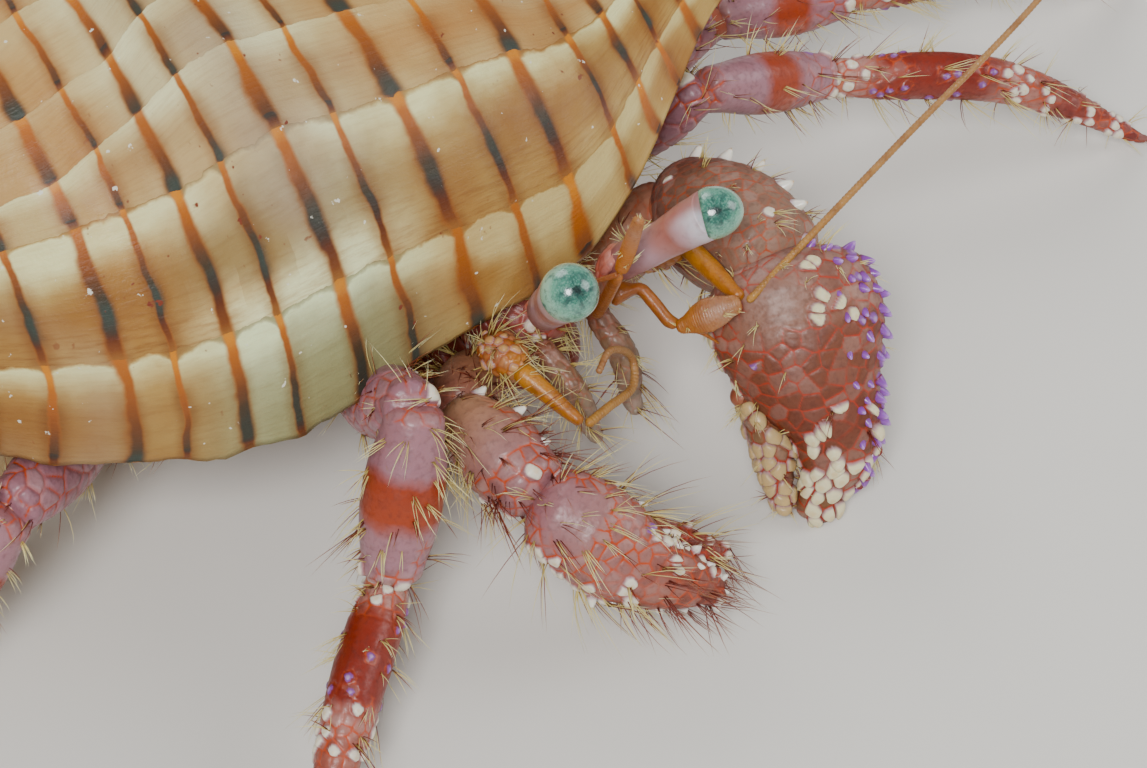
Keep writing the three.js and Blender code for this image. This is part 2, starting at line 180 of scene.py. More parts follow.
def put_mesh(name, points, faces, nodes, material, uv=None, values=None):
    """One piece of the animal from its vertices, faces and values for each vertex. Its faces
    are turned outwards if the volume that they enclose is negative."""
    points = np.asarray(points, np.float32).reshape(-1, 3)
    first = points[faces[:, 0]]
    volume = np.einsum("ij,ij->", first, np.cross(points[faces[:, 1]], points[faces[:, 2]]))
    if volume < 0:
        faces = faces[:, ::-1]
        uv = None if uv is None else uv[:, ::-1]
    mesh = bpy.data.meshes.new(name)
    corner_count = faces.shape[1]
    mesh.vertices.add(len(points))
    mesh.vertices.foreach_set("co", points.ravel())
    mesh.loops.add(len(faces) * corner_count)
    mesh.loops.foreach_set("vertex_index", faces.astype(np.int32).ravel())
    mesh.polygons.add(len(faces))
    mesh.polygons.foreach_set("loop_start", np.arange(0, len(faces) * corner_count, corner_count))
    mesh.polygons.foreach_set("use_smooth", np.ones(len(faces), bool))
    if uv is not None:
        layer = mesh.uv_layers.new(name="Place")
        layer.uv.foreach_set("vector", np.ascontiguousarray(uv, np.float32).ravel())
    for key, value in (values or {}).items():
        attribute = mesh.attributes.new(key, "FLOAT", "POINT")
        attribute.data.foreach_set("value", np.asarray(value, np.float32).ravel())
    mesh.update(calc_edges=True)
    mesh.validate()
    mesh.materials.append(material)
    label = f"{name}_skin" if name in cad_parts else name
    piece = bpy.data.objects.new(label, mesh)
    bpy.context.scene.collection.objects.link(piece)
    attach(piece, "root")
    if nodes:
        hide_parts(*nodes)
    return piece


def closed_grid(grid, ends=None):
    """Vertices, triangles and their places on the unwrap for a grid of rings whose last
    column joins the first. Each end closes on one point, the ring's mean unless given."""
    rings, sides = grid.shape[:2]
    poles = ends if ends is not None else (grid[0].mean(0), grid[-1].mean(0))
    points = np.concatenate([grid.reshape(-1, 3), np.reshape(poles, (2, 3))])
    i, j = np.meshgrid(np.arange(rings - 1), np.arange(sides), indexing="ij")
    i, j = i.ravel(), j.ravel()
    a, b = i * sides + j, i * sides + (j + 1) % sides
    faces = np.concatenate([np.stack([a, b, b + sides], 1), np.stack([a, b + sides, a + sides], 1)])
    ja, jb, ia, ib = j / sides, (j + 1) / sides, i / (rings - 1), (i + 1) / (rings - 1)
    uv = np.concatenate([
        np.stack([ja, ia, jb, ia, jb, ib], 1), np.stack([ja, ia, jb, ib, ja, ib], 1),
    ]).reshape(-1, 3, 2)
    k = np.arange(sides)
    last = (rings - 1) * sides
    low = np.full(sides, rings * sides)
    caps = np.concatenate([
        np.stack([low, (k + 1) % sides, k], 1),
        np.stack([low + 1, last + k, last + (k + 1) % sides], 1),
    ])
    half = (k + 0.5) / sides
    flat = np.zeros(sides)
    cap_uv = np.concatenate([
        np.stack([half, flat, (k + 1) / sides, flat, k / sides, flat], 1),
        np.stack([half, flat + 1, k / sides, flat + 1, (k + 1) / sides, flat + 1], 1),
    ]).reshape(-1, 3, 2)
    return points, np.concatenate([faces, caps]), np.concatenate([uv, cap_uv])


def grid_normals(grid):
    """Unit normals of a grid of closed rings, from central differences, pointing outwards."""
    along = np.gradient(grid, axis=0)
    around = np.roll(grid, -1, axis=1) - np.roll(grid, 1, axis=1)
    normals = unit(np.cross(around, along))
    outwards = grid - grid.mean(1, keepdims=True)
    return normals if (normals * outwards).sum() > 0 else -normals


def oval_tube(path, width, height, up, rings, sides, blunt=(0.9, 0.9), power=2.0, square=None):
    """A limb: rings with half axes read along a smooth path, squared a little by the power
    of a superellipse. Each end closes as a quarter ellipse, blunt radii long. The rings stand
    square to the path, or lie in the plane of the two directions in square."""
    even = np.linspace(0, 1, rings)
    places = 0.65 * even + 0.35 * (0.5 - 0.5 * np.cos(math.pi * even))
    line, tangent, length, (w, h) = smooth(path, places, width, height)
    at = places * length
    near = np.clip(at / max(blunt[0] * (w[0] + h[0]) / 2, 1e-9), 0, 1)
    far = np.clip((length - at) / max(blunt[1] * (w[-1] + h[-1]) / 2, 1e-9), 0, 1)
    close = np.sqrt(np.maximum(1 - (1 - near) ** 2, 0)) * np.sqrt(np.maximum(1 - (1 - far) ** 2, 0))
    close = np.maximum(close, 0.02)
    across = unit(np.cross(tangent, up)) if square is None else np.tile(square[0], (rings, 1))
    top = np.cross(across, tangent) if square is None else np.tile(square[1], (rings, 1))
    turn = FULL * np.arange(sides) / sides
    x = np.sign(np.cos(turn)) * np.abs(np.cos(turn)) ** (2 / power)
    y = np.sign(np.sin(turn)) * np.abs(np.sin(turn)) ** (2 / power)
    grid = (
        line[:, None] + across[:, None] * (w * close)[:, None, None] * x[None, :, None]
        + top[:, None] * (h * close)[:, None, None] * y[None, :, None]
    )
    return grid, places, length


def put_rings(name, grid, nodes, material):
    """One piece of the animal from a grid of closed rings."""
    points, faces, uv = closed_grid(grid)
    return put_mesh(name, points, faces, nodes, material, uv)


def keep_skin(name, grid):
    """Keeps a finished limb surface with its normals and its ways along, for the hairs."""
    SKINS[name] = (grid, grid_normals(grid), unit(np.gradient(grid, axis=0)))


def scatter(grid, spacing, seed, jitter=0.28):
    """Sites on a grid of rings in staggered rows, one spacing apart along and around it, each
    moved at random by a share of the spacing. Returns points, places along and around."""
    random = np.random.default_rng(seed)
    steps = np.linalg.norm(np.diff(grid, axis=0), axis=2).mean(1)
    gone = np.concatenate([[0], np.cumsum(steps)])
    round_it = np.linalg.norm(grid - np.roll(grid, 1, axis=1), axis=2).sum(1)
    rows = max(2, int(gone[-1] / (0.87 * spacing)))
    along, around = [], []
    for row in range(rows):
        at = gone[-1] * (row + 0.5) / rows
        count = max(3, int(round(np.interp(at, gone, round_it) / spacing)))
        along.append(at + jitter * spacing * random.uniform(-1, 1, count))
        shift = jitter * random.uniform(-1, 1, count)
        around.append((np.arange(count) + 0.5 * (row % 2) + shift) / count)
    along = np.clip(np.concatenate(along) / gone[-1], 0, 1)
    around = np.concatenate(around) % 1
    i = np.interp(along * gone[-1], gone, np.arange(len(gone))).round().astype(int)
    j = (around * grid.shape[1]).round().astype(int) % grid.shape[1]
    return grid[i, j], i, j


def cells(points, sites):
    """For each point the distance to its nearest site, the distance to the border with the
    second nearest, (d2^2 - d1^2) / (2 |s2 - s1|), and the nearest site's number."""
    flat = points.reshape(-1, 3)
    near = np.empty(len(flat))
    border = np.empty(len(flat))
    which = np.empty(len(flat), int)
    for low in range(0, len(flat), 8192):
        part = flat[low:low + 8192]
        square = ((part[:, None] - sites[None]) ** 2).sum(2)
        two = np.argpartition(square, 1, axis=1)[:, :2]
        d = np.take_along_axis(square, two, 1)
        swap = d[:, 0] > d[:, 1]
        two[swap] = two[swap][:, ::-1]
        d[swap] = d[swap][:, ::-1]
        apart = np.linalg.norm(sites[two[:, 0]] - sites[two[:, 1]], axis=1)
        near[low:low + 8192] = np.sqrt(d[:, 0])
        border[low:low + 8192] = (d[:, 1] - d[:, 0]) / np.maximum(2 * apart, 1e-9)
        which[low:low + 8192] = two[:, 0]
    shape = points.shape[:-1]
    return near.reshape(shape), border.reshape(shape), which.reshape(shape)


KNOB_SIZES = {"drop": 0.52, "scale": 0.66, "violet": 0.32}  # half width over the cell's size


def shell_plate(name, grid, style, nodes, material, seed):
    """A horny limb plate on a grid: cells raised between sunken borders, some of them drawn
    up into knobs that lean towards the tip. Height = dome x ease(border) + knob x hill. The
    hill of a drop is a half ball of sqrt(1 - d^2), d being the distance from the site over the
    drop's size, longer towards the tip; a scale's fills its cell; a purple one's is small.
    Vertex values: rim, distance to the border in mm; cell, a random number for each cell;
    knob and spine, how far a vertex is up a pale or a purple one; bare, 1 on smooth patches."""
    random = np.random.default_rng(seed)
    sites, i, j = scatter(grid, style["cell"] * MM, seed, style.get("jitter", 0.33))
    near, border, which = cells(grid, sites)
    normals = grid_normals(grid)
    along = unit(np.gradient(grid, axis=0))
    rings, sides = grid.shape[:2]
    places = np.linspace(0, 1, rings)
    u, v = places[i], j / sides
    chance = random.uniform(0, 1, len(sites))
    tall = np.zeros(len(sites))
    pale = np.zeros(len(sites))
    violet = np.zeros(len(sites))
    across = np.ones(len(sites))
    for low, high, left, right, share, height, kind in style.get("knobs", ()):
        inside = (u > low) & (u < high) & (((v - left) % 1) < (right - left)) & (chance < share)
        tall[inside] = height * random.uniform(0.7, 1.2, inside.sum())
        pale[inside] = kind != "violet"
        violet[inside] = kind == "violet"
        across[inside] = KNOB_SIZES[kind] * random.uniform(0.85, 1.1, inside.sum())
    smooth_patch = np.zeros((rings, sides))
    around = np.arange(sides)[None] / sides
    wobble = 0.04 * waves(8 * places[:, None], 3 * np.sin(FULL * around), seed)
    for low, high, left, right in style.get("bare", ()):
        aside = np.abs((around - (left + right) / 2 + 0.5) % 1 - 0.5) - (right - left) / 2
        end = np.maximum(low - places, places - high)[:, None]
        smooth_patch = np.maximum(smooth_patch, 1 - ease(np.maximum(end, aside) + wobble, -0.03, 0.02))
    smooth_patch *= tall[which] == 0
    size = across[which] * style["cell"] * MM
    forward = ((grid - sites[which]) * along).sum(2) / size
    sideways = np.sqrt(np.maximum((near / size) ** 2 - forward**2, 0))
    drop = np.hypot(
        sideways * (1 + 0.5 * np.clip(forward, 0, 1.2)), forward * np.where(forward > 0, 0.74, 1.1),
    )
    hill = np.sqrt(np.clip(1 - drop**2, 0, 1)) * ease(border, 0.02 * MM, 0.12 * MM)
    size = style.get("dome", 0.1) * MM
    rise = (1 - smooth_patch) * (size * ease(border, 0, 0.2 * MM) - size) + tall[which] * MM * hill
    fade = np.minimum(ease(places, 0, 0.05), 1 - ease(places, 0.97, 1))[:, None]
    lean = along * (0.6 * tall[which] * MM * hill**2 * fade)[..., None]
    shaped = grid + normals * (rise * fade)[..., None] + lean
    shaped[..., 2] = np.maximum(shaped[..., 2], 0)
    points, faces, uv = closed_grid(shaped)
    ends = [0, -1]

    def spread(value):
        return np.concatenate([value.ravel(), value[ends].mean(1)])

    values = {
        "rim": spread(border / MM),
        "cell": spread(random.uniform(0, 1, len(sites))[which]),
        "knob": spread(hill * pale[which]),
        "spine": spread(hill * violet[which]),
        "bare": spread(smooth_patch),
    }
    piece = put_mesh(name, points, faces, nodes, material, uv, values)
    SKINS[name] = (shaped, grid_normals(shaped), along)
    return piece


def spikes(name, roots, aims, lengths, radii, nodes, material, bends=None, rings=4,
           sides=3, taper=0.75, patch=None, tone=None):
    """Many spikes in one piece: each is a stack of rings along root + aim x l t + bend x l t^2,
    its radius r (1 - t)^taper, closed at the root and drawn to a point at the tip. With a patch
    of places, each gets a square 0.003 across on the unwrap OFBake at its root's place."""
    count = len(roots)
    if bends is None:
        bends = np.zeros_like(aims)
    first = unit(np.cross(aims, np.array([0.3, 0.5, 0.8])))
    second = np.cross(aims, first)
    t = np.arange(rings) / rings
    turn = FULL * np.arange(sides) / sides
    middle = (
        roots[:, None] + aims[:, None] * (lengths[:, None] * t)[..., None]
        + bends[:, None] * (lengths[:, None] * t**2)[..., None]
    )
    radius = radii[:, None] * (1 - t) ** taper
    ring = (
        first[:, None] * np.cos(turn)[None, :, None] + second[:, None] * np.sin(turn)[None, :, None]
    )
    body = middle[:, :, None] + ring[:, None] * radius[:, :, None, None]
    tips = roots + (aims + bends) * lengths[:, None]
    points = np.concatenate([body.reshape(count, -1, 3), tips[:, None]], 1)
    i, j = np.meshgrid(np.arange(rings - 1), np.arange(sides), indexing="ij")
    i, j = i.ravel(), j.ravel()
    a, b = i * sides + j, i * sides + (j + 1) % sides
    k = np.arange(sides)
    last = (rings - 1) * sides
    one = np.concatenate([
        np.stack([a, b, b + sides], 1),
        np.stack([a, b + sides, a + sides], 1),
        np.stack([last + k, last + (k + 1) % sides, np.full(sides, rings * sides)], 1),
        np.stack([np.zeros(sides - 2, int), k[2:], k[1:-1]], 1),
    ])
    each = rings * sides + 1
    faces = (one[None] + (each * np.arange(count))[:, None, None]).reshape(-1, 3)
    height = np.concatenate([np.repeat(t, sides), [1.0]])
    values = {
        "height": np.tile(height, count),
        "tone": np.repeat(np.zeros(count) if tone is None else tone, each),
    }
    piece = put_mesh(name, points, faces, nodes, material, None, values)
    if patch is not None:
        corner = piece.data.uv_layers.new(name="OFBake")
        side = np.concatenate([np.tile(turn / FULL, rings), [0.5]])
        local = 0.003 * (np.stack([side, height], 1) - 0.5)
        flat = (patch[:, None] + local[None]).reshape(-1, 2)
        loops = np.empty(len(piece.data.loops), int)
        piece.data.loops.foreach_get("vertex_index", loops)
        corner.uv.foreach_set("vector", flat[loops].astype(np.float32).ravel())
    return piece


# ---------------------------------------------------------------- materials

MODES = {
    "Math": "operation", "MapRange": "interpolation_type", "MixRGB": "blend_type",
    "Attribute": "attribute_name", "UVMap": "uv_map",
}


def linear(colour):
    """An sRGB hex colour as linear red, green, blue and alpha."""
    parts = [int(colour[k:k + 2], 16) / 255 for k in (1, 3, 5)]
    return (*[c / 12.92 if c <= 0.04045 else ((c + 0.055) / 1.055) ** 2.4 for c in parts], 1)


def add(tree, kind, *values, out=0, ramp=(), **named):
    """Adds the node ShaderNode + kind, with kind's second word as its mode, and returns one of
    its outputs. Values go into its inputs in order, or by name: each is a number, an sRGB hex
    colour or another node's output. A ramp is a list of places and hex colours."""
    kind, _, mode = kind.partition(" ")
    made = tree.nodes.new("ShaderNode" + kind)
    if mode:
        setattr(made, MODES[kind], mode)
    if ramp:
        stops = made.color_ramp.elements
        while len(stops) < len(ramp):
            stops.new(0.5)
        for stop, (place, colour) in zip(stops, ramp):
            stop.position = place
            stop.color = linear(colour)
    for key, value in [*enumerate(values), *named.items()]:
        wanted = made.inputs[key.replace("_", " ") if isinstance(key, str) else key]
        if isinstance(value, bpy.types.NodeSocket):
            tree.links.new(value, wanted)
        else:
            wanted.default_value = linear(value) if isinstance(value, str) else value
    return made.outputs[out]


def new_material(name, soft=0.0, coat=0.0):
    """An empty node material with a wet coat and light that sinks in, and its node maker."""
    made = bpy.data.materials.new(name)
    made.use_nodes = True
    shader = made.node_tree.nodes["Principled BSDF"]
    for key, value in (
        ("IOR", 1.5), ("Coat Weight", coat), ("Coat Roughness", 0.12), ("Subsurface Weight", soft),
        ("Subsurface Radius", (1.0, 0.45, 0.25)), ("Subsurface Scale", 0.0008),
    ):
        shader.inputs[key].default_value = value
    return made, functools.partial(add, made.node_tree)


def finish_material(made, colour, roughness, heights=()):
    """Joins colour, roughness and bumps to the surface. Heights are pairs of a value and its
    depth in metres, the coarsest first."""
    tree = made.node_tree
    shader = tree.nodes["Principled BSDF"]
    tree.links.new(colour, shader.inputs["Base Color"])
    if isinstance(roughness, float):
        shader.inputs["Roughness"].default_value = roughness
    else:
        tree.links.new(roughness, shader.inputs["Roughness"])
    below = {}
    for value, depth in heights:
        below = {"Normal": add(tree, "Bump", Height=value, Distance=depth, **below)}
    if below:
        tree.links.new(below["Normal"], shader.inputs["Normal"])
    return made


def tulip_lime():
    """Polished lime laid down at the lip in steps. Each step starts cream between thin yellow
    lines and darkens to tan, its lines to brown and to a teal grey peak; in the newest whole
    step the peak comes early and is followed by a ridge with red-brown lines. The unwrap runs
    (growth steps, line number), so a line is a whole number of the second; the last step
    before the lip is 99."""
    made, node = new_material("tulip_shell_lime", soft=0.05, coat=0.04)
    made.node_tree.nodes["Principled BSDF"].inputs["Specular IOR Level"].default_value = 0.3
    place = node("UVMap Place")
    step, row = node("SeparateXYZ", place), node("SeparateXYZ", place, out=1)
    spot = node("TexCoord", out="Object")
    fine = node("TexNoise", spot, Scale=900.0, Detail=4.0)
    grit = node("TexNoise", spot, Scale=4200.0, Detail=3.0)
    large = node("TexNoise", spot, Scale=90.0, Detail=2.0)
    middle = node("TexNoise", spot, Scale=320.0, Detail=3.0)
    frayed = node("Math ADD", step, node("MapRange LINEAR", fine, 0.0, 1.0, -0.05, 0.05))
    v = node("Math FRACT", frayed)
    number = node("Math FLOOR", frayed)
    swayed = node("Math ADD", row, node("MapRange LINEAR", middle, 0.0, 1.0, -0.12, 0.12))
    line = node("Math ROUND", swayed)
    off = node("Math SUBTRACT", swayed, line)
    aside = node("Math ABSOLUTE", off)
    wide = node("Math ABSOLUTE", node("Math MODULO", line, 2.0))
    own = node("TexWhiteNoise", node("CombineXYZ", number, node("Math FLOOR", swayed), 0.5))
    luck = node("TexWhiteNoise", node("CombineXYZ", number, line, 7.5))
    ridged = node("Math COMPARE", number, 98.0, 0.5)
    recent = node("MapRange LINEAR", number, 96.9, 98.0)
    peak = node(
        "Math ADD", node("Math MULTIPLY_ADD", ridged, -0.3, 0.92),
        node("MapRange LINEAR", luck, 0.0, 1.0, -0.08, 0.08),
    )
    ripe = node("Math DIVIDE", v, peak)
    after = node("MapRange LINEAR", v, peak, 1.0)

    # Ground: cream tongues, round at the back, that fade to tan before the next step; warmer
    # towards both ends of the whorl. Older steps fade less, and are tan near the canal.
    warm = node("MapRange SMOOTHSTEP", node("Math ABSOLUTE", node("Math SUBTRACT", row, 6.4)), 0.9, 2.8)
    low = node("MapRange SMOOTHSTEP", row, 8.0, 9.6)
    beside = node("Math SUBTRACT", 1.0, node("Math MULTIPLY", aside, 2.0))
    round_back = node(
        "Math MULTIPLY", node("Math POWER", beside, 3.0),
        node("MapRange LINEAR", own, 0.0, 1.0, 0.02, 0.12),
    )
    before = node("MapRange SMOOTHSTEP", node("Math SUBTRACT", v, round_back), -0.02, 0.05, 1.0, 0.0)
    reach = node("Math SUBTRACT", v, node("Math MULTIPLY_ADD", own, 0.14, -0.02))
    slow = node("Math MULTIPLY", warm, node("MapRange LINEAR", low, 0.0, 1.0, 0.13, 0.04))
    newest = node("Math COMPARE", number, 99.0, 0.5)
    reach = node("Math SUBTRACT", reach, node("Math MULTIPLY", slow, ridged))
    fade = node("MapRange LINEAR", reach, -0.03, 0.4)
    fade = node(
        "Math MULTIPLY", fade,
        node("Math SUBTRACT", 1.0, node("Math MULTIPLY", node("Math MULTIPLY", newest, low), 0.4)),
    )
    fade = node("Math MULTIPLY", fade, node("MapRange LINEAR", recent, 0.0, 1.0, 0.42, 1.0))
    paler = node(
        "Math MULTIPLY", node("Math MULTIPLY", node("MapRange LINEAR", after, 0.0, 0.7), ridged),
        node("MapRange LINEAR", warm, 0.0, 1.0, 0.9, 0.3),
    )
    share = node(
        "Math MULTIPLY", node("Math MAXIMUM", fade, node("Math MULTIPLY", before, recent)),
        node("Math SUBTRACT", 1.0, paler),
    )
    share = node("Math ADD", share, node("MapRange LINEAR", own, 0.0, 1.0, 0.1, -0.1))
    clouds = node("TexNoise", spot, Scale=170.0, Detail=2.0)
    share = node("Math ADD", share, node("MapRange LINEAR", clouds, 0.3, 0.7, -0.2, 0.16))
    share = node("Math MAXIMUM", share, node("Math MULTIPLY", node("Math MULTIPLY", newest, low), 0.3))
    cool = node(
        "ValToRGB", share, ramp=[(0.0, "#E2E4B0"), (0.3, "#CEC896"), (0.65, "#AEA67A"), (1.0, "#9C8E5E")],
    )
    tan = node(
        "ValToRGB", share, ramp=[(0.0, "#E0DC9E"), (0.3, "#C6B274"), (0.6, "#AC8C4C"), (1.0, "#9C773C")],
    )
    fresh = node("ValToRGB", share, ramp=[(0.0, "#DCE6B2"), (0.4, "#B4B68A"), (1.0, "#929064")])
    cool = node("MixRGB", newest, cool, fresh)
    ground = node("MixRGB", warm, cool, tan)
    aged = node(
        "Math MULTIPLY", node("Math SUBTRACT", 1.0, recent),
        node("MapRange SMOOTHSTEP", v, 0.5, 0.9, 0.8, 0.2),
    )
    ground = node("MixRGB", node("Math MULTIPLY", aged, low), ground, "#B4843E")
    ground = node("MixRGB", node("MapRange LINEAR", recent, 0.0, 1.0, 0.22, 0.0), ground, "#C69C6E")
    upper = node("Math MULTIPLY", warm, node("Math SUBTRACT", 1.0, low))
    ground = node(
        "MixRGB", node("Math MULTIPLY", upper, node("MapRange LINEAR", number, 96.0, 97.0, 0.6, 0.0)),
        ground, "#B07C3A",
    )
    amber = node("MapRange SMOOTHSTEP", node("Math MULTIPLY_ADD", share, 0.16, large), 0.5, 0.74, 0.0, 0.5)
    amber = node(
        "Math MULTIPLY", amber,
        node(
            "MapRange LINEAR", node("Math MULTIPLY", newest, node("Math SUBTRACT", 1.0, warm)), 0.0, 1.0,
            1.0, 0.3,
        ),
    )
    ground = node("MixRGB MULTIPLY", amber, ground, "#D89C48")
    greyed = node("TexNoise", spot, Scale=60.0, Detail=2.0)
    ground = node("MixRGB", node("MapRange SMOOTHSTEP", greyed, 0.5, 0.7, 0.0, 0.3), ground, "#B6AA98")
    thread = node("CombineXYZ", node("Math MULTIPLY", step, 24.0), node("Math MULTIPLY", row, 1.3))
    striae = node("TexNoise", thread, Scale=1.0, Detail=4.0, Roughness=0.65)
    ribs = node("Math MULTIPLY_ADD", node("Math MULTIPLY", after, ridged), 0.35, 0.16)
    ribs = node("Math MULTIPLY", ribs, node("MapRange SMOOTHSTEP", striae, 0.42, 0.7))
    ground = node("MixRGB MULTIPLY", ribs, ground, "#B0743A")
    dusk = node(
        "Math MULTIPLY", node("MapRange SMOOTHSTEP", aside, 0.04, 0.32, 0.55, 0.0),
        node("MapRange SMOOTHSTEP", v, 0.05, 0.4),
    )
    ground = node("MixRGB MULTIPLY", dusk, ground, "#B87C3C")

    # Lines: thin and amber at the start of a step, broad and dark at its peak, soft edged.
    half = node("Math MULTIPLY_ADD", wide, 0.055, 0.07)
    young = node("MapRange SMOOTHSTEP", ripe, 0.2, 1.0, 0.85, 1.15)
    grown = node(
        "Math MULTIPLY", half,
        node("Math MULTIPLY", young, node("MapRange SMOOTHSTEP", after, 0.1, 0.6, 1.0, 0.82)),
    )
    uneven = node("Math MULTIPLY", grown, node("Math MULTIPLY_ADD", middle, 0.9, 0.55))
    depth = node("Math DIVIDE", aside, uneven)
    mask = node("MapRange SMOOTHSTEP", depth, 0.55, 1.45, 1.0, 0.0)
    quick = node(
        "Math SUBTRACT", node("Math MULTIPLY_ADD", warm, -0.6, 1.45), node("Math MULTIPLY", low, 0.3),
    )
    quick = node("MapRange LINEAR", newest, 0.0, 1.0, 0.76, quick)
    ripened = node("Math MULTIPLY", ripe, node("MapRange LINEAR", ridged, 0.0, 1.0, quick, 0.98))
    age = node("Math ADD", ripened, node("MapRange LINEAR", luck, 0.0, 1.0, -0.12, 0.12))
    ink = node("ValToRGB", age, ramp=[
        (0.0, "#C87A0A"), (0.12, "#AC5E10"), (0.36, "#8E4C16"), (0.6, "#683A1A"), (0.8, "#443220"),
        (1.0, "#35342A"),
    ])
    late = node(
        "ValToRGB", after,
        ramp=[(0.0, "#36302A"), (0.3, "#402C20"), (0.5, "#5A2A12"), (0.8, "#743E18"), (1.0, "#8E5A24")],
    )
    ink = node("MixRGB", node("MapRange SMOOTHSTEP", after, 0.0, 0.12), ink, late)
    ink = node("MixRGB", node("MapRange SMOOTHSTEP", depth, 0.45, 1.3, 0.0, 0.65), ink, "#A65E18")
    solid = node("MapRange SMOOTHSTEP", node("Math MULTIPLY_ADD", grit, 0.1, v), 0.0, 0.2, 0.9, 1.0)
    base = node("MixRGB", node("Math MULTIPLY", mask, solid), ground, ink)
    near = node("Math ABSOLUTE", node("Math SUBTRACT", node("Math MULTIPLY_ADD", middle, 0.3, ripe), 1.16))
    smudge = node("MapRange SMOOTHSTEP", near, 0.05, 0.32, 1.0, 0.0)
    over = node("Math ABSOLUTE", node("Math SUBTRACT", off, 0.03))
    over = node("MapRange SMOOTHSTEP", node("Math SUBTRACT", over, half), -0.08, 0.08, 1.0, 0.0)
    lucky = node(
        "MapRange SMOOTHSTEP", node("Math ADD", luck, node("Math MULTIPLY", ridged, 0.4)), 0.5, 0.9, 0.15,
        0.9,
    )
    base = node("MixRGB", node("Math MULTIPLY", node("Math MULTIPLY", smudge, over), lucky), base, "#363E36")

    # Growth scars, small stains, pale crusts and the peach lining.
    scar = node("MapRange SMOOTHSTEP", v, 0.0, 0.02, 0.7, 0.0)
    torn = node("MapRange SMOOTHSTEP", fine, 0.5, 0.62, 0.0, 0.3)
    base = node("MixRGB", node("Math MULTIPLY", scar, torn), base, "#7C4A2A")
    specks = node("TexNoise", spot, Scale=1200.0, Detail=3.0)
    base = node("MixRGB", node("MapRange SMOOTHSTEP", specks, 0.71, 0.74, 0.0, 0.85), base, "#DCD8C8")
    stains = node("TexNoise", spot, Scale=1100.0, Detail=2.0)
    stain = node(
        "Math MULTIPLY", node("MapRange SMOOTHSTEP", stains, 0.7, 0.76),
        node("MapRange SMOOTHSTEP", large, 0.45, 0.6),
    )
    base = node("MixRGB", stain, base, "#74301C")
    lining = node("MixRGB", node("MapRange SMOOTHSTEP", large, 0.35, 0.7), "#D8CCA4", "#B88A58")
    base = node(
        "MixRGB", node("MapRange SMOOTHSTEP", node("Attribute inner", out="Fac"), 0.45, 0.55), base, lining,
    )
    return finish_material(
        made, base, node("MapRange SMOOTHSTEP", fine, 0.3, 0.75, 0.38, 0.56),
        [(node("Math MULTIPLY", v, -1.0), 0.00004), (striae, 0.00005), (fine, 0.00005), (grit, 0.00003)],
    )


def chitin(name, bands, net="#A83A16", pale="#DED4C0", violet="#804C98", net_share=1.0, line=0.075,
           freckle="#6E2A20", gloss=0.42, cell_shift=0.14):
    """Horny plate: colour bands along the piece, each cell a little lighter or darker, thin
    bright lines where cells meet, knobs paler than the plate. The unwrap's second number is
    the place along the piece from 0 to 1; the line's half width is in mm."""
    made, node = new_material(name, soft=0.12, coat=0.06)
    along = node("SeparateXYZ", node("UVMap Place"), out=1)
    spot = node("TexCoord", out="Object")
    coarse = node("TexNoise", spot, Scale=420.0, Detail=3.0)
    fine = node("TexNoise", spot, Scale=2600.0, Detail=4.0)
    wander = node("Math ADD", along, node("MapRange LINEAR", coarse, 0.0, 1.0, -0.07, 0.07))
    base = node("ValToRGB", wander, ramp=bands)
    celled = node("Math SUBTRACT", 1.0, node("Attribute bare", out="Fac"))
    cell = node("Attribute cell", out="Fac")
    lighter = node("MapRange SMOOTHSTEP", cell, 0.35, 1.0, 0.0, cell_shift * 1.4)
    base = node("MixRGB", node("Math MULTIPLY", lighter, celled), base, "#D0A69C")
    darker = node("MapRange SMOOTHSTEP", cell, 0.4, 0.0, 0.0, cell_shift * 1.6)
    base = node("MixRGB", node("Math MULTIPLY", darker, celled), base, freckle)
    base = node("MixRGB MULTIPLY", node("MapRange SMOOTHSTEP", fine, 0.45, 0.75, 0.0, 0.3), base, freckle)
    base = node("MixRGB MULTIPLY", node("MapRange SMOOTHSTEP", coarse, 0.5, 0.75, 0.0, 0.3), base, "#B06A58")
    rim = node(
        "Math ADD", node("Attribute rim", out="Fac"), node("MapRange LINEAR", fine, 0.0, 1.0, -0.04, 0.04),
    )
    drawn = node("MapRange SMOOTHSTEP", rim, line * 0.5, line * 1.25, 1.0, 0.0)
    broken = node("MapRange SMOOTHSTEP", coarse, 0.4, 0.54, net_share * 0.15, net_share)
    lines = node("Math MULTIPLY", drawn, broken)
    base = node("MixRGB", node("Math MULTIPLY", lines, celled), base, net)
    halo = node("MapRange SMOOTHSTEP", rim, line, line * 3.6, 0.2 * net_share, 0.0)
    base = node("MixRGB", node("Math MULTIPLY", halo, celled), base, net)
    knob = node("Attribute knob", out="Fac")
    base = node("MixRGB", node("MapRange SMOOTHSTEP", knob, 0.0, 0.4, 0.0, 0.8), base, "#B08E92")
    base = node("MixRGB", node("MapRange SMOOTHSTEP", knob, 0.3, 0.72), base, pale)
    base = node("MixRGB", node("MapRange SMOOTHSTEP", knob, 0.93, 1.0, 0.0, 0.35), base, "#CBA766")
    spine = node("Attribute spine", out="Fac")
    base = node("MixRGB", node("MapRange SMOOTHSTEP", spine, 0.1, 0.6, 0.0, 0.9), base, violet)
    base = node("MixRGB", node("MapRange SMOOTHSTEP", spine, 0.75, 1.0, 0.0, 0.6), base, "#BFA0C0")
    roughness = node("MapRange SMOOTHSTEP", fine, 0.3, 0.8, gloss - 0.08, gloss + 0.14)
    return finish_material(made, base, roughness, [(coarse, 0.00008), (fine, 0.00005)])


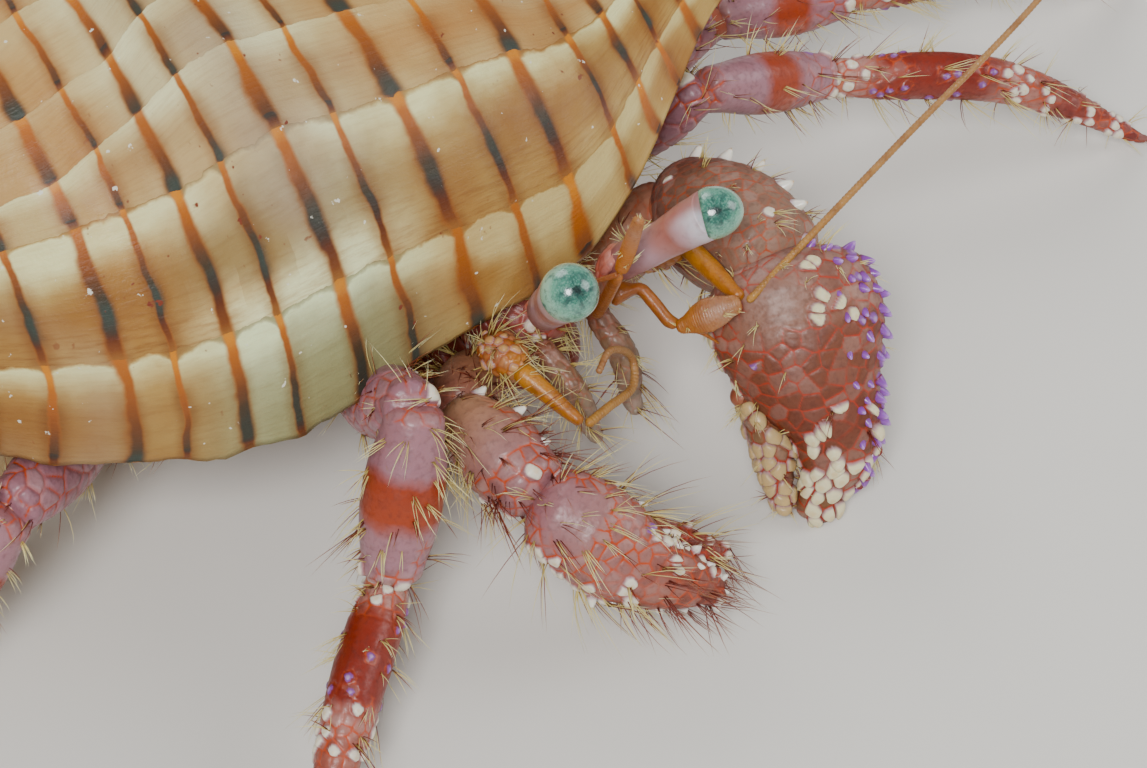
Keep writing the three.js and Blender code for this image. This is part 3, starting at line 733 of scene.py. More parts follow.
def plain_skin(name, colours, patch, gloss, scale=500.0, soft=0.15, bumps=0.00006, coat=0.1):
    """Thin skin or horn with two tones in soft patches and fine wrinkles. Scale is in waves
    per metre; patch is the second tone and how strong it gets. Where a vertex value called
    shade is set, the surface takes on the second tone by up to 0.85."""
    made, node = new_material(name, soft, coat)
    along = node("SeparateXYZ", node("UVMap Place"), out=1)
    spot = node("TexCoord", out="Object")
    coarse = node("TexNoise", spot, Scale=scale, Detail=3.0)
    fine = node("TexNoise", spot, Scale=scale * 6, Detail=4.0)
    wander = node("Math ADD", along, node("MapRange LINEAR", coarse, 0.0, 1.0, -0.08, 0.08))
    base = node("ValToRGB", wander, ramp=colours)
    base = node("MixRGB", node("MapRange SMOOTHSTEP", coarse, 0.45, 0.7, 0.0, patch[1]), base, patch[0])
    base = node("MixRGB MULTIPLY", node("MapRange SMOOTHSTEP", fine, 0.5, 0.8, 0.0, 0.3), base, patch[0])
    shade = node("Math MULTIPLY", node("Attribute shade", out="Fac"), 0.85)
    base = node("MixRGB", shade, base, patch[0])
    roughness = node("MapRange SMOOTHSTEP", fine, 0.3, 0.8, gloss - 0.06, gloss + 0.14)
    return finish_material(made, base, roughness, [(coarse, bumps * 1.5), (fine, bumps)])


def bristle():
    """Stiff straw-coloured hair, brown at the root; a tone near 1 is a dark red-brown hair."""
    made, node = new_material("seta_chitin", soft=0.1)
    height = node("Attribute height", out="Fac")
    straw = node("ValToRGB", height, ramp=[
        (0.0, "#A8843C"), (0.25, "#D8C070"), (0.7, "#ECDF9A"), (1.0, "#F2EAC0"),
    ])
    dark = node("ValToRGB", height, ramp=[(0.0, "#5A1A12"), (0.6, "#7C2A18"), (1.0, "#C08A58")])
    tone = node("MapRange SMOOTHSTEP", node("Attribute tone", out="Fac"), 0.8, 0.9)
    return finish_material(made, node("MixRGB", tone, straw, dark), 0.42)


def thorn():
    """Solid spine: a pale cone, brown where it has worn at the tip; a tone near 1 is purple."""
    made, node = new_material("spine_chitin", soft=0.2, coat=0.2)
    height = node("Attribute height", out="Fac")
    pale = node("ValToRGB", height, ramp=[
        (0.0, "#A0503C"), (0.15, "#B898A0"), (0.4, "#E8E0D4"), (0.85, "#EDE8DA"), (1.0, "#C89C5C"),
    ])
    purple = node("ValToRGB", height, ramp=[
        (0.0, "#7A2A2A"), (0.2, "#7C3A92"), (0.65, "#8E4EB2"), (1.0, "#BA92D0"),
    ])
    tone = node("MapRange SMOOTHSTEP", node("Attribute tone", out="Fac"), 0.4, 0.6)
    pits = node("TexNoise", node("TexCoord", out="Object"), Scale=2500.0, Detail=3.0)
    return finish_material(made, node("MixRGB", tone, pale, purple), 0.3, [(pits, 0.00004)])


def star_cornea():
    """Wet domed cornea over facets: teal, paler at its edge, with dark blotches that run out
    like a star from the point that is 0 in the vertex values star_x and star_y."""
    made, node = new_material("cornea_wet", soft=0.1, coat=0.8)
    x, y = node("Attribute star_x", out="Fac"), node("Attribute star_y", out="Fac")
    away = node("Math SQRT", node("Math MULTIPLY_ADD", x, x, node("Math MULTIPLY", y, y)))
    held = node("Math MAXIMUM", away, 0.02)
    ray = node(
        "CombineXYZ", node("Math DIVIDE", x, held), node("Math DIVIDE", y, held),
        node("Math MULTIPLY", away, 0.7),
    )
    streaks = node("TexNoise", ray, Scale=2.2, Detail=4.0, Roughness=0.6, Distortion=0.3)
    spot = node("TexCoord", out="Object")
    blots = node("TexNoise", spot, Scale=1500.0, Detail=4.0, Roughness=0.65)
    grain = node("TexNoise", spot, Scale=7000.0, Detail=2.0)
    base = node("ValToRGB", away, ramp=[
        (0.0, "#1A4440"), (0.3, "#34705F"), (0.6, "#478470"), (0.85, "#5E9A80"), (1.0, "#8CB8A0"),
    ])
    base = node("MixRGB", node("MapRange SMOOTHSTEP", grain, 0.4, 0.65, 0.0, 0.35), base, "#8FC0AC")
    rays = node("MapRange SMOOTHSTEP", streaks, 0.44, 0.66, 0.0, 0.75)
    base = node(
        "MixRGB", node("Math MULTIPLY", rays, node("MapRange SMOOTHSTEP", away, 0.45, 0.85, 1.0, 0.0)),
        base, "#123836",
    )
    base = node("MixRGB", node("MapRange SMOOTHSTEP", blots, 0.5, 0.64, 0.0, 0.6), base, "#1C4C46")
    edge = node("Math ADD", away, node("MapRange LINEAR", blots, 0.0, 1.0, -0.3, 0.3))
    base = node("MixRGB", node("MapRange SMOOTHSTEP", edge, 0.1, 0.26, 0.9, 0.0), base, "#081E1E")
    facets = node("TexVoronoi", spot, Scale=9000.0)
    return finish_material(made, base, 0.2, [(facets, 0.000008)])


# ---------------------------------------------------------------- what a user would change

class ShellSizes(bpy.types.PropertyGroup):
    """The growth of the snail shell and its placing in the frame."""

    length: bpy.props.FloatProperty(
        name="Length", description="Apex to the end of the canal", default=0.105, unit="LENGTH",
    )
    wall: bpy.props.FloatProperty(
        name="Wall", description="Thickness of the outer lip", default=0.00125, unit="LENGTH",
    )
    growth: bpy.props.FloatProperty(
        name="Growth", description="How much larger each whorl is than the last", default=1.5,
    )
    heading: bpy.props.FloatProperty(
        name="Heading", description="Turn of the axis from +X", default=math.radians(-17), subtype="ANGLE",
    )
    pitch: bpy.props.FloatProperty(
        name="Pitch", description="Tilt of the axis", default=math.radians(-3), subtype="ANGLE",
    )
    turns: bpy.props.FloatProperty(name="Whorls", description="Number of whorls drawn", default=7.0)
    steps: bpy.props.FloatProperty(
        name="Growth steps", description="Growth steps in one old whorl", default=24.0,
    )


class CrabColours(bpy.types.PropertyGroup):
    """The main colours of the crab."""

    plate: bpy.props.StringProperty(
        name="Plate", description="Lilac of the limb plates, as sRGB hex", default="#9A6C74",
    )
    net: bpy.props.StringProperty(
        name="Net", description="Lines between the cells, as sRGB hex", default="#B4400C",
    )
    band: bpy.props.StringProperty(
        name="Band", description="Red bands of the legs, as sRGB hex", default="#923008",
    )


class HairSizes(bpy.types.PropertyGroup):
    """The stiff hairs."""

    thickness: bpy.props.FloatProperty(
        name="Thickness", description="Radius of a hair at its root", default=0.000042, unit="LENGTH",
    )
    length: bpy.props.FloatProperty(
        name="Length", description="Length of an ordinary hair", default=0.0021, unit="LENGTH",
    )
    per_tuft: bpy.props.IntProperty(
        name="Hairs in a tuft", description="Number of hairs that share a root", default=5,
    )


class StageSettings(bpy.types.PropertyGroup):
    """The floor, the light and the camera."""

    azimuth: bpy.props.FloatProperty(
        name="Azimuth", description="Camera's turn round the crab, 0 looks along +Y",
        default=math.radians(-42), subtype="ANGLE",
    )
    elevation: bpy.props.FloatProperty(
        name="Elevation", description="Camera's height above the horizon", default=math.radians(50),
        subtype="ANGLE",
    )
    distance: bpy.props.FloatProperty(
        name="Distance", description="From the camera to what it looks at", default=0.2278, unit="LENGTH",
    )
    lens: bpy.props.FloatProperty(
        name="Lens", description="Focal length in millimetres on a 36 mm sensor", default=110.0,
    )
    aim: bpy.props.FloatVectorProperty(
        name="Aim", description="What the camera looks at, from the middle of the box's underside",
        default=(0.000786, -0.019527, 0.01291), unit="LENGTH",
    )
    floor: bpy.props.StringProperty(name="Floor", description="Floor colour, as sRGB hex", default="#DEDBD4")


# ---------------------------------------------------------------- the snail shell

# Half width of the last whorl along the axis, both as shares of the shell's length.
WHORL = np.array([
    [0.34, 0.09], [0.4, 0.157], [0.43, 0.183], [0.46, 0.204], [0.5, 0.224], [0.55, 0.235],
    [0.6, 0.2355], [0.64, 0.227], [0.68, 0.21], [0.73, 0.196], [0.78, 0.182], [0.83, 0.163],
    [0.87, 0.145], [0.91, 0.115], [0.95, 0.088], [1.0, 0.068], [1.05, 0.04],
])
# Where the spiral lines cross the lip, counted from the shoulder; odd ones are wide.
LINES = np.array([
    0.385, 0.42, 0.453, 0.496, 0.526, 0.562, 0.595, 0.641, 0.681, 0.728, 0.776, 0.817, 0.857,
    0.883, 0.907, 0.932, 0.957, 0.985,
])
# How far behind the lip, in degrees, the four youngest growth steps start, on some of the lines.
STEP_LINES = np.array([0, 3, 5, 7, 9, 11, 13, 17])
STEP_STARTS = np.array([
    [22.3, 22.0, 22.2, 23.4, 22.2, 21.0, 18.0, 14.0],
    [42.0, 43.7, 45.0, 50.1, 50.2, 53.4, 43.3, 34.0],
    [48.0, 50.3, 57.4, 66.5, 69.0, 72.0, 62.0, 50.0],
    [58.0, 61.9, 67.0, 80.0, 84.0, 88.0, 80.0, 66.0],
])
# How far each line slips towards the canal in the youngest part of the shell: at once near the
# lip, and then steadily, in shares of the length for each degree, faster nearer the canal.
QUICK_SLIP_PLACES, QUICK_SLIP = [0.5, 0.9], [0.02, 0]
SLOW_SLIP_PLACES = [0.5, 0.65, 0.75, 0.8, 0.85, 0.9, 0.95]
SLOW_SLIP = [0, 1.2e-4, 2.2e-4, 3e-4, 5e-4, 7e-4, 9e-4]
SLIP_END = 90  # degrees behind the lip where the lines stop slipping
CANAL_START, CANAL_END, SPIRE_START, LIP_SWEEP, CANAL_RISE = 0.8, 0.965, 0.02, 45.0, 0.005
CORE = 0.04  # half width of the columella, as a share of the length
WORN_WALL = 0.25 * MM  # lime left above the worn flat


def shell_frame(sizes):
    """Apex, axis, top and front directions of the shell, the apex measured on the CAD node."""
    h, p = sizes.heading, sizes.pitch
    axis = np.array([math.cos(h) * math.cos(p), math.sin(h) * math.cos(p), math.sin(p)])
    front = np.array([math.sin(h), -math.cos(h), 0.0])
    top = unit(np.cross(front, axis))
    points, _ = corners("shell")
    place = points @ axis
    first_ring = points[place < place.min() + 0.2 * MM].mean(0)
    return first_ring - axis * SPIRE_START * sizes.length, axis, top, front


def shell_points(sizes, station, radius, degrees):
    """Points at a station along the axis and a radius, both as shares of the length, and an
    angle from the top towards the front. Past the canal's start the angle falls back and the
    points rise with the square of the way along."""
    apex, axis, top, front = shell_frame(sizes)
    late = ease(station, CANAL_START, 1)
    turn = np.radians(degrees - LIP_SWEEP * late)
    rise = CANAL_RISE * np.clip((station - CANAL_START) / (1 - CANAL_START), 0, None) ** 2
    side = radius * sizes.length
    return (
        apex + axis * (station * sizes.length)[..., None]
        + top * (side * np.cos(turn) + rise)[..., None] + front * (side * np.sin(turn))[..., None]
    )


def growth_steps(back, row, sizes):
    """Growth steps counted down from 100 at the lip, at a number of degrees behind it on a
    line. The four youngest starts are given; the older steps are evenly long."""
    starts = [np.interp(row, STEP_LINES, start) for start in STEP_STARTS]
    ends = [0 * starts[0]] + starts[:-1]
    young = sum(np.clip((back - end) / (start - end), 0, 1) for start, end in zip(starts, ends))
    return 100 - young - np.maximum(back - starts[-1], 0) * sizes.steps / 360


def whorl_sheet(sizes, back, share, inwards=0.0):
    """The surface that the lip sweeps out as it grows: at a number of degrees behind the lip
    the profile is smaller by growth^(-back/360), at a station and radius in step. Fine relief
    follows the growth steps. Returns the points, their growth step and their line number."""
    scale = sizes.growth ** (-back / 360)
    end = np.minimum(1.05, CANAL_END / scale)
    p = WHORL[0, 0] + (end - WHORL[0, 0]) * share
    fine = np.linspace(WHORL[0, 0], WHORL[-1, 0], 400)
    raw = np.interp(fine, WHORL[:, 0], WHORL[:, 1])
    window = np.hanning(17) / np.hanning(17).sum()
    soft = np.convolve(np.pad(raw, 8, mode="edge"), window, mode="valid")
    radius = np.interp(p, fine, soft)
    early = np.minimum(back, SLIP_END)
    steady = early * np.interp(p, SLOW_SLIP_PLACES, SLOW_SLIP)
    slip = np.interp(p, QUICK_SLIP_PLACES, QUICK_SLIP) * (1 - np.exp(-early / 18)) + steady
    row = np.interp(p - slip, LINES, np.arange(len(LINES)))
    row += np.minimum(p - slip - LINES[0], 0) * 30 + np.maximum(p - slip - LINES[-1], 0) * 30
    turns = back / 360
    step = growth_steps(back, row, sizes) + 0.03 * waves(9 * turns, 5 * p, 11)
    within = step - np.floor(step)
    relief = 0.09 * within**3 + 0.05 * waves(40 * turns, 14 * p, 5) + 0.10 * waves(7 * turns, 9 * p, 6)
    relief += 0.03 * np.cos(FULL * row)
    lifted = radius + relief * MM / sizes.length - inwards / (sizes.length * scale)
    chip = (1.1 + 1.1 * waves(0 * p, 46 * p, 21)) * (1 - ease(back, 0, 5))
    points = shell_points(sizes, scale * p, scale * lifted, 90 - back - np.abs(chip))
    return points, step, row


def thick_sheet(outer, inner):
    """Vertices and triangles of a sheet with two sides and a rim round all four borders."""
    rows, columns = outer.shape[:2]
    number = np.arange(rows * columns).reshape(rows, columns)
    a, b = number[:-1, :-1].ravel(), number[:-1, 1:].ravel()
    c, d = number[1:, 1:].ravel(), number[1:, :-1].ravel()
    front = np.concatenate([np.stack([a, b, c], 1), np.stack([a, c, d], 1)])
    edge = np.concatenate([number[0, :-1], number[:-1, -1], number[-1, :0:-1], number[:0:-1, 0]])
    after = np.roll(edge, -1)
    back = rows * columns
    rim = np.concatenate([
        np.stack([after, edge, edge + back], 1), np.stack([after, edge + back, after + back], 1),
    ])
    points = np.concatenate([outer.reshape(-1, 3), inner.reshape(-1, 3)])
    return points, np.concatenate([front, front[:, ::-1] + back, rim])


class CRAB_OT_shell(bpy.types.Operator):
    """Builds the tulip shell: the hollow last whorl, the solid spire and the columella"""

    bl_idname = "crab.shell"
    bl_label = "Tulip shell"

    def execute(self, context):
        sizes = context.scene.crab_shell
        lime = tulip_lime()
        back = np.concatenate([np.linspace(0, 6, 6), np.linspace(7.5, 404, 218)])[:, None]
        share = np.linspace(0, 1, 112)[None, :]
        outer, step, row = whorl_sheet(sizes, back, share)
        wall = sizes.wall * (0.3 + 0.7 * ease(back, 0, 9))
        inner, _, _ = whorl_sheet(sizes, back, share, wall)
        # The worn flat that the shell rests on: its outer face lies on the floor.
        outer[..., 2] = np.maximum(outer[..., 2], 0)
        inner[..., 2] = np.maximum(inner[..., 2], WORN_WALL)
        points, faces = thick_sheet(outer, inner)
        place = np.stack([np.tile(step.ravel(), 2), np.tile(row.ravel(), 2)], 1)
        side = np.repeat([0.0, 1.0], outer.shape[0] * outer.shape[1])
        put_mesh("shell_last_whorl", points, faces, ["shell"], lime, place[faces], {"inner": side})

        back = np.linspace(372, 360 * sizes.turns, 470)[:, None]
        arc, step, row = whorl_sheet(sizes, back, share)
        apex, axis, _, _ = shell_frame(sizes)
        axial = ((arc[:, -1] - apex) @ axis), ((arc[:, 0] - apex) @ axis)
        t = np.linspace(0, 1, 8)[1:-1]
        return_at = axial[0][:, None] * (1 - t) + axial[1][:, None] * t
        core = apex + axis * return_at[..., None]
        ring = np.concatenate([arc, core], 1)
        points, faces, _ = closed_grid(ring)
        filler = np.repeat(step[:, :1], 6, axis=1), np.repeat(row[:, -1:], 6, axis=1)
        flat = np.stack([np.concatenate([step, filler[0]], 1), np.concatenate([row, filler[1]], 1)], 2)
        ends = np.stack([flat[0].mean(0), flat[-1].mean(0)])
        place = np.concatenate([flat.reshape(-1, 2), ends])
        outside = {"inner": np.zeros(len(points))}
        put_mesh("shell_spire", points, faces, ["shell"], lime, place[faces], outside)

        station = np.linspace(0.3, CANAL_END - 0.004, 90)[:, None]
        turn = np.linspace(0, 360, 48, endpoint=False)[None, :]
        twist = turn + 900 * station
        fold = 0.003 * np.cos(np.radians(twist)) + 0.0015 * np.cos(2 * np.radians(twist))
        taper = 1 - 0.55 * ease(station, 0.84, CANAL_END)
        radius = (CORE + fold) * taper * np.sqrt(np.clip((CANAL_END - station) / 0.012, 0, 1))
        column = shell_points(sizes, station + 0 * turn, radius, turn)
        points, faces, uv = closed_grid(column)
        inside = {"inner": np.ones(len(points))}
        put_mesh("shell_columella", points, faces, ["shell"], lime, uv, inside)
        return {"FINISHED"}


# ---------------------------------------------------------------- the crab

UP = np.array([0.0, 0.0, 1.0])
CLAW_FACE = unit(np.array([-0.43, -0.478, 0.766]))  # the way that the outer faces of both claws look
ASIDE = unit(np.array([0.743, -0.669, 0.0]))  # level and square to it, to the left and the front
LEGS = ("leg2_right", "leg3_right", "leg2_left", "leg3_left")
LEG_PARTS = ("ischium", "merus", "carpus", "propodus", "dactyl")
CLAW_PARTS = ("merus", "carpus", "palm", "finger")


def measured_limb(node, start, end, up, shares, rings, sides, ends=(0.7, 0.6), power=2.0, overlap=0.35,
                  blunt=(0.9, 0.9)):
    """The limb surface of one CAD node between two joints, from its measured sections. It runs
    on past the node by the overlap, in mm, at both ends."""
    centres, widths, heights, (along, across, top), (low, high) = sections(node, start, end, up, shares)
    first = centres[0] + along * (low - overlap * MM - centres[0] @ along)
    last = centres[-1] + along * (high + overlap * MM - centres[-1] @ along)
    path = np.concatenate([[first], centres, [last]])
    width = np.concatenate([[ends[0] * widths[0]], widths, [ends[1] * widths[-1]]])
    height = np.concatenate([[ends[0] * heights[0]], heights, [ends[1] * heights[-1]]])
    return oval_tube(path, width, height, up, rings, sides, blunt, power, (across, top))


def membrane(name, joints, nodes, material):
    """Soft joints in one piece: each an egg round a joint, with the limb's way and half sizes."""
    shells = []
    for point, way, reach, radius in joints:
        path = [point - way * reach, point, point + way * reach]
        grid, _, _ = oval_tube(path, [radius] * 3, [radius] * 3, UP + 0.01, 14, 20, (1, 1))
        shells.append(closed_grid(grid))
    counts = np.cumsum([0] + [len(s[0]) for s in shells[:-1]])
    points = np.concatenate([s[0] for s in shells])
    faces = np.concatenate([s[1] + k for s, k in zip(shells, counts)])
    put_mesh(name, points, faces, nodes, material, np.concatenate([s[2] for s in shells]))


LEG_STYLES = {
    "ischium": {"cell": 1.4, "dome": 0.06, "bare": [(0.2, 0.8, 0.0, 0.5)]},
    "merus": {
        "cell": 1.3, "dome": 0.08, "knobs": [(0.5, 1.0, 0.9, 1.1, 0.5, 0.25, "drop")],
        "bare": [(0.1, 0.8, 0.1, 0.5)],
    },
    "carpus": {
        "cell": 1.5, "dome": 0.12, "bare": [(0.2, 0.66, 0.12, 0.38)],
        "knobs": [(0.8, 1.0, 0.0, 1.0, 0.2, 0.25, "drop"), (0.3, 0.9, 0.4, 0.55, 0.3, 0.25, "drop")],
    },
    "propodus": {
        "cell": 1.3, "dome": 0.08, "bare": [(0.1, 0.66, 0.0, 1.0), (0.6, 0.84, 0.14, 0.38)],
        "knobs": [(0.86, 1.0, 0.0, 1.0, 0.3, 0.25, "drop"), (0.5, 0.8, 0.0, 1.0, 0.05, 0.1, "violet")],
    },
    "dactyl": {
        "cell": 0.95, "dome": 0.08, "bare": [(0.19, 0.44, 0.0, 1.0), (0.6, 0.68, 0.0, 1.0)],
        "knobs": [(0.0, 0.14, 0.0, 1.0, 0.35, 0.25, "drop"), (0.12, 0.5, 0.0, 1.0, 0.2, 0.16, "violet"),
                  (0.44, 0.6, 0.0, 1.0, 0.4, 0.25, "drop"), (0.66, 0.92, 0.0, 1.0, 0.4, 0.24, "drop")],
    },
}


class CRAB_OT_legs(bpy.types.Operator):
    """Builds the four walking legs: five horny pieces each, and the soft skin of their joints"""

    bl_idname = "crab.legs"
    bl_label = "Walking legs"

    def execute(self, context):
        colours = context.scene.crab_colours
        lilac, net, band = colours.plate, colours.net, colours.band
        looks = {
            "ischium": chitin("leg_base_chitin", [(0, "#94402C"), (1, "#8A3220")], net, net_share=0.6),
            "merus": chitin(
                "leg_thigh_chitin", [(0, "#7E3422"), (0.6, "#7A3020"), (1, "#8A4A3C")], net, net_share=0.7,
            ),
            "carpus": chitin(
                "leg_knee_chitin", [(0, "#863C26"), (0.12, "#8C5044"), (0.28, lilac), (1, "#926470")], net,
            ),
            "propodus": chitin("leg_shin_chitin", [
                (0, "#8E5A5C"), (0.12, lilac), (0.36, "#986A74"), (0.42, band), (0.57, "#983408"),
                (0.64, "#9A6A72"), (0.84, "#A07480"), (1, "#AC887C"),
            ], net, net_share=0.9),
            "dactyl": chitin("leg_toe_chitin", [
                (0, "#B2887A"), (0.1, "#A8746A"), (0.17, "#84240C"), (0.42, "#7A1A04"), (0.49, "#A8746A"),
                (0.58, "#9A5442"), (0.63, "#741404"), (0.72, "#863018"), (0.9, "#74160A"), (1, "#4E0E0A"),
            ], net, net_share=0.9),
        }
        soft = plain_skin("leg_joint_skin", [(0, "#A83C1C"), (1, "#C07858")], ("#74200F", 0.5), 0.4)
        shares = np.array([0.15, 0.3, 0.45, 0.6, 0.74, 0.86])
        fineness = {
            "ischium": (40, 56), "merus": (70, 72), "carpus": (96, 104), "propodus": (120, 110),
            "dactyl": (190, 92),
        }
        for number, leg in enumerate(LEGS):
            chain = ["thorax"] + [f"{leg}_{part}" for part in LEG_PARTS]
            joints = [meeting(a, b) for a, b in zip(chain[:-1], chain[1:])]
            joints.append(far_end(chain[-1], joints[-1]))
            soft_joints = []
            for k, part in enumerate(LEG_PARTS):
                node = chain[k + 1]
                start, end = joints[k], joints[k + 1]
                tip = part == "dactyl"
                at = np.array([0.05, 0.16, 0.3, 0.44, 0.58, 0.7, 0.8, 0.88, 0.95]) if tip else shares
                grid, _, _ = measured_limb(
                    node, start, end, UP, at, *fineness[part],
                    ends=(0.9, 0.35 if tip else 0.88), overlap=0 if tip else 0.35,
                    blunt=(0.5, 1.6 if tip else 0.5),
                )
                shell_plate(node, grid, LEG_STYLES[part], [node], looks[part], 100 + 10 * number + k)
                if k:
                    way = unit(end - start)
                    girth = np.linalg.norm(grid[12] - grid[12].mean(0), axis=1).mean()
                    soft_joints.append((joints[k], way, 1.1 * girth, 0.72 * girth))
            membrane(f"{leg}_joints", soft_joints, chain[1:], soft)
        return {"FINISHED"}


class CRAB_OT_claws(bpy.types.Operator):
    """Builds both claw legs: arm, wrist plate, palm with its fixed finger, and movable finger"""

    bl_idname = "crab.claws"
    bl_label = "Claws"

    def execute(self, context):
        colours = context.scene.crab_colours
        dark_net = "#A22C08"
        arm = chitin(
            "claw_arm_skin", [(0, "#8A4228"), (0.4, "#A87250"), (0.8, "#A06A54"), (1, "#8E584A")],
            colours.net, net_share=0.5, cell_shift=0.08,
        )
        # The left wrist plate's bands darken towards the knee, which lies under the shell's lip: the darker
        # browns at that end are painted shadow of the lip.
        left_wrist = chitin(
            "left_wrist_chitin", [(0, "#66382C"), (0.25, "#744A3C"), (0.5, "#866450"), (1, "#8E6E5A")],
            "#B0420C", line=0.05, net_share=0.85, gloss=0.54,
        )
        left_palm = chitin("left_palm_chitin", [
            (0, "#8C685C"), (0.2, "#885C48"), (0.34, "#723E26"), (0.6, "#682C12"), (0.78, "#72462C"),
            (0.9, "#764E2A"), (1, "#60301C"),
        ], dark_net, line=0.06, pale="#DAD0A8", gloss=0.52)
        left_finger = chitin(
            "left_finger_chitin", [(0, "#704430"), (0.4, "#7E5C3A"), (1, "#582618")], dark_net,
            pale="#B89C6C",
        )
        right_wrist = chitin(
            "right_wrist_chitin", [(0, "#AE8460"), (0.3, "#A87A60"), (0.6, "#9A6E68"), (1, "#94666C")],
            colours.net,
        )
        right_palm = chitin("right_palm_chitin", [
            (0, "#96646A"), (0.35, "#9A6C68"), (0.52, "#905A52"), (0.66, "#84402C"), (1, "#702614"),
        ], colours.net)
        right_finger = chitin("right_finger_chitin", [(0, "#8A4030"), (1, "#702010")], dark_net)
        soft = plain_skin("claw_joint_skin", [(0, "#94492E"), (1, "#A86C4E")], ("#6A1D0E", 0.5), 0.45)
        styles = {
            "cheliped_left_merus": (arm, {"cell": 1.4, "dome": 0.06}, (60, 72)),
            "cheliped_left_carpus": (left_wrist, {
                "cell": 0.95, "dome": 0.02, "jitter": 0.48,
                "knobs": [(0.1, 0.95, 0.1, 0.4, 0.02, 0.25, "drop")],
            }, (190, 210)),
            "cheliped_left_palm": (left_palm, {
                "cell": 1.12, "dome": 0.05, "jitter": 0.48, "bare": [(0.08, 0.24, 0.16, 0.26)],
                "knobs": [
                    (0.04, 0.8, 0.36, 0.6, 0.3, 0.25, "violet"),
                    (0.3, 0.5, 0.04, 0.38, 0.08, 0.4, "drop"),
                    (0.3, 0.56, 0.08, 0.42, 0.08, 0.3, "violet"),
                    (0.04, 0.3, 0.27, 0.37, 0.7, 0.5, "drop"),
                    (0.25, 0.7, -0.06, 0.035, 0.75, 0.25, "scale"),
                    (0.5, 0.7, 0.06, 0.42, 0.45, 0.6, "drop"),
                    (0.7, 0.99, 0.0, 0.46, 0.75, 0.4, "scale"),
                    (0.8, 0.99, 0.46, 1.0, 0.4, 0.3, "drop"),
                ],
            }, (250, 220)),
            "cheliped_left_finger": (left_finger, {
                "cell": 1.1, "dome": 0.12, "knobs": [(0.05, 0.97, 0.0, 1.0, 0.8, 0.3, "scale")],
            }, (120, 110)),
            "cheliped_right_merus": (
                arm, {"cell": 1.5, "dome": 0.06, "bare": [(0.1, 0.9, 0.0, 0.5)]}, (60, 72),
            ),
            "cheliped_right_carpus": (right_wrist, {
                "cell": 1.2, "dome": 0.08, "bare": [(0.0, 0.66, 0.12, 0.4)],
                "knobs": [(0.8, 1.0, 0.0, 0.5, 0.12, 0.2, "drop"), (0.3, 1.0, 0.85, 1.0, 0.4, 0.25, "drop")],
            }, (120, 130)),
            "cheliped_right_palm": (right_palm, {
                "cell": 0.95, "dome": 0.05, "jitter": 0.48, "bare": [(0.02, 0.3, 0.2, 0.36)],
                "knobs": [
                    (0.42, 0.98, 0.0, 0.5, 0.18, 0.3, "violet"), (0.5, 0.98, 0.0, 1.0, 0.3, 0.35, "drop"),
                    (0.1, 0.6, -0.08, 0.1, 0.5, 0.25, "scale"),
                ],
            }, (190, 170)),
            "cheliped_right_finger": (right_finger, {
                "cell": 0.85, "dome": 0.1,
                "knobs": [
                    (0.05, 0.95, 0.0, 1.0, 0.3, 0.2, "violet"), (0.05, 0.95, 0.0, 1.0, 0.35, 0.3, "drop"),
                ],
            }, (100, 100)),
        }
        shares = np.array([0.08, 0.2, 0.34, 0.48, 0.62, 0.76, 0.9])
        palm_shares = np.array([0.16, 0.24, 0.33, 0.44, 0.55, 0.66, 0.77, 0.87, 0.95])
        wrist_shares = np.array([0.12, 0.25, 0.4, 0.55, 0.7, 0.82])
        for side in ("left", "right"):
            arm_name = f"cheliped_{side}"
            merus, carpus, palm, finger = (f"{arm_name}_{part}" for part in CLAW_PARTS)
            hip, knee, wrist = meeting("thorax", merus), meeting(merus, carpus), meeting(carpus, palm)
            tip = far_end(palm, wrist)
            hinge = far_end(finger, tip)
            spans = {
                merus: (hip, knee, UP, shares, (0.75, 0.7), 0.35, (0.8, 0.8)),
                carpus: (knee, wrist, CLAW_FACE, wrist_shares, (0.8, 0.86), 0.6, (0.8, 0.5)),
                palm: (wrist, tip, CLAW_FACE, palm_shares, (0.82, 0.6), 0.5, (0.6, 1.3)),
                finger: (hinge, far_end(finger, hinge), CLAW_FACE, shares, (0.75, 0.6), 0.0, (1.0, 1.4)),
            }
            for number, (node, (start, end, up, at, ends, overlap, blunt)) in enumerate(spans.items()):
                material, style, fineness = styles[node]
                grid, _, _ = measured_limb(
                    node, start, end, up, at, *fineness, ends=ends, overlap=overlap, blunt=blunt,
                )
                shell_plate(
                    node, grid, style, [node], material, 200 + number + (10 if side == "left" else 0),
                )
            way = unit(wrist - knee)
            radius = 0.0016 if side == "right" else 0.0024
            membrane(f"{arm_name}_joints", [
                (knee, unit(knee - hip), 0.0018, radius), (wrist, way, 0.0016, radius),
                (hinge, unit(far_end(finger, hinge) - hinge), 0.0008, 0.35 * radius),
            ], [merus, carpus, palm, finger], soft)
            self.spines(side, palm, carpus)
        return {"FINISHED"}

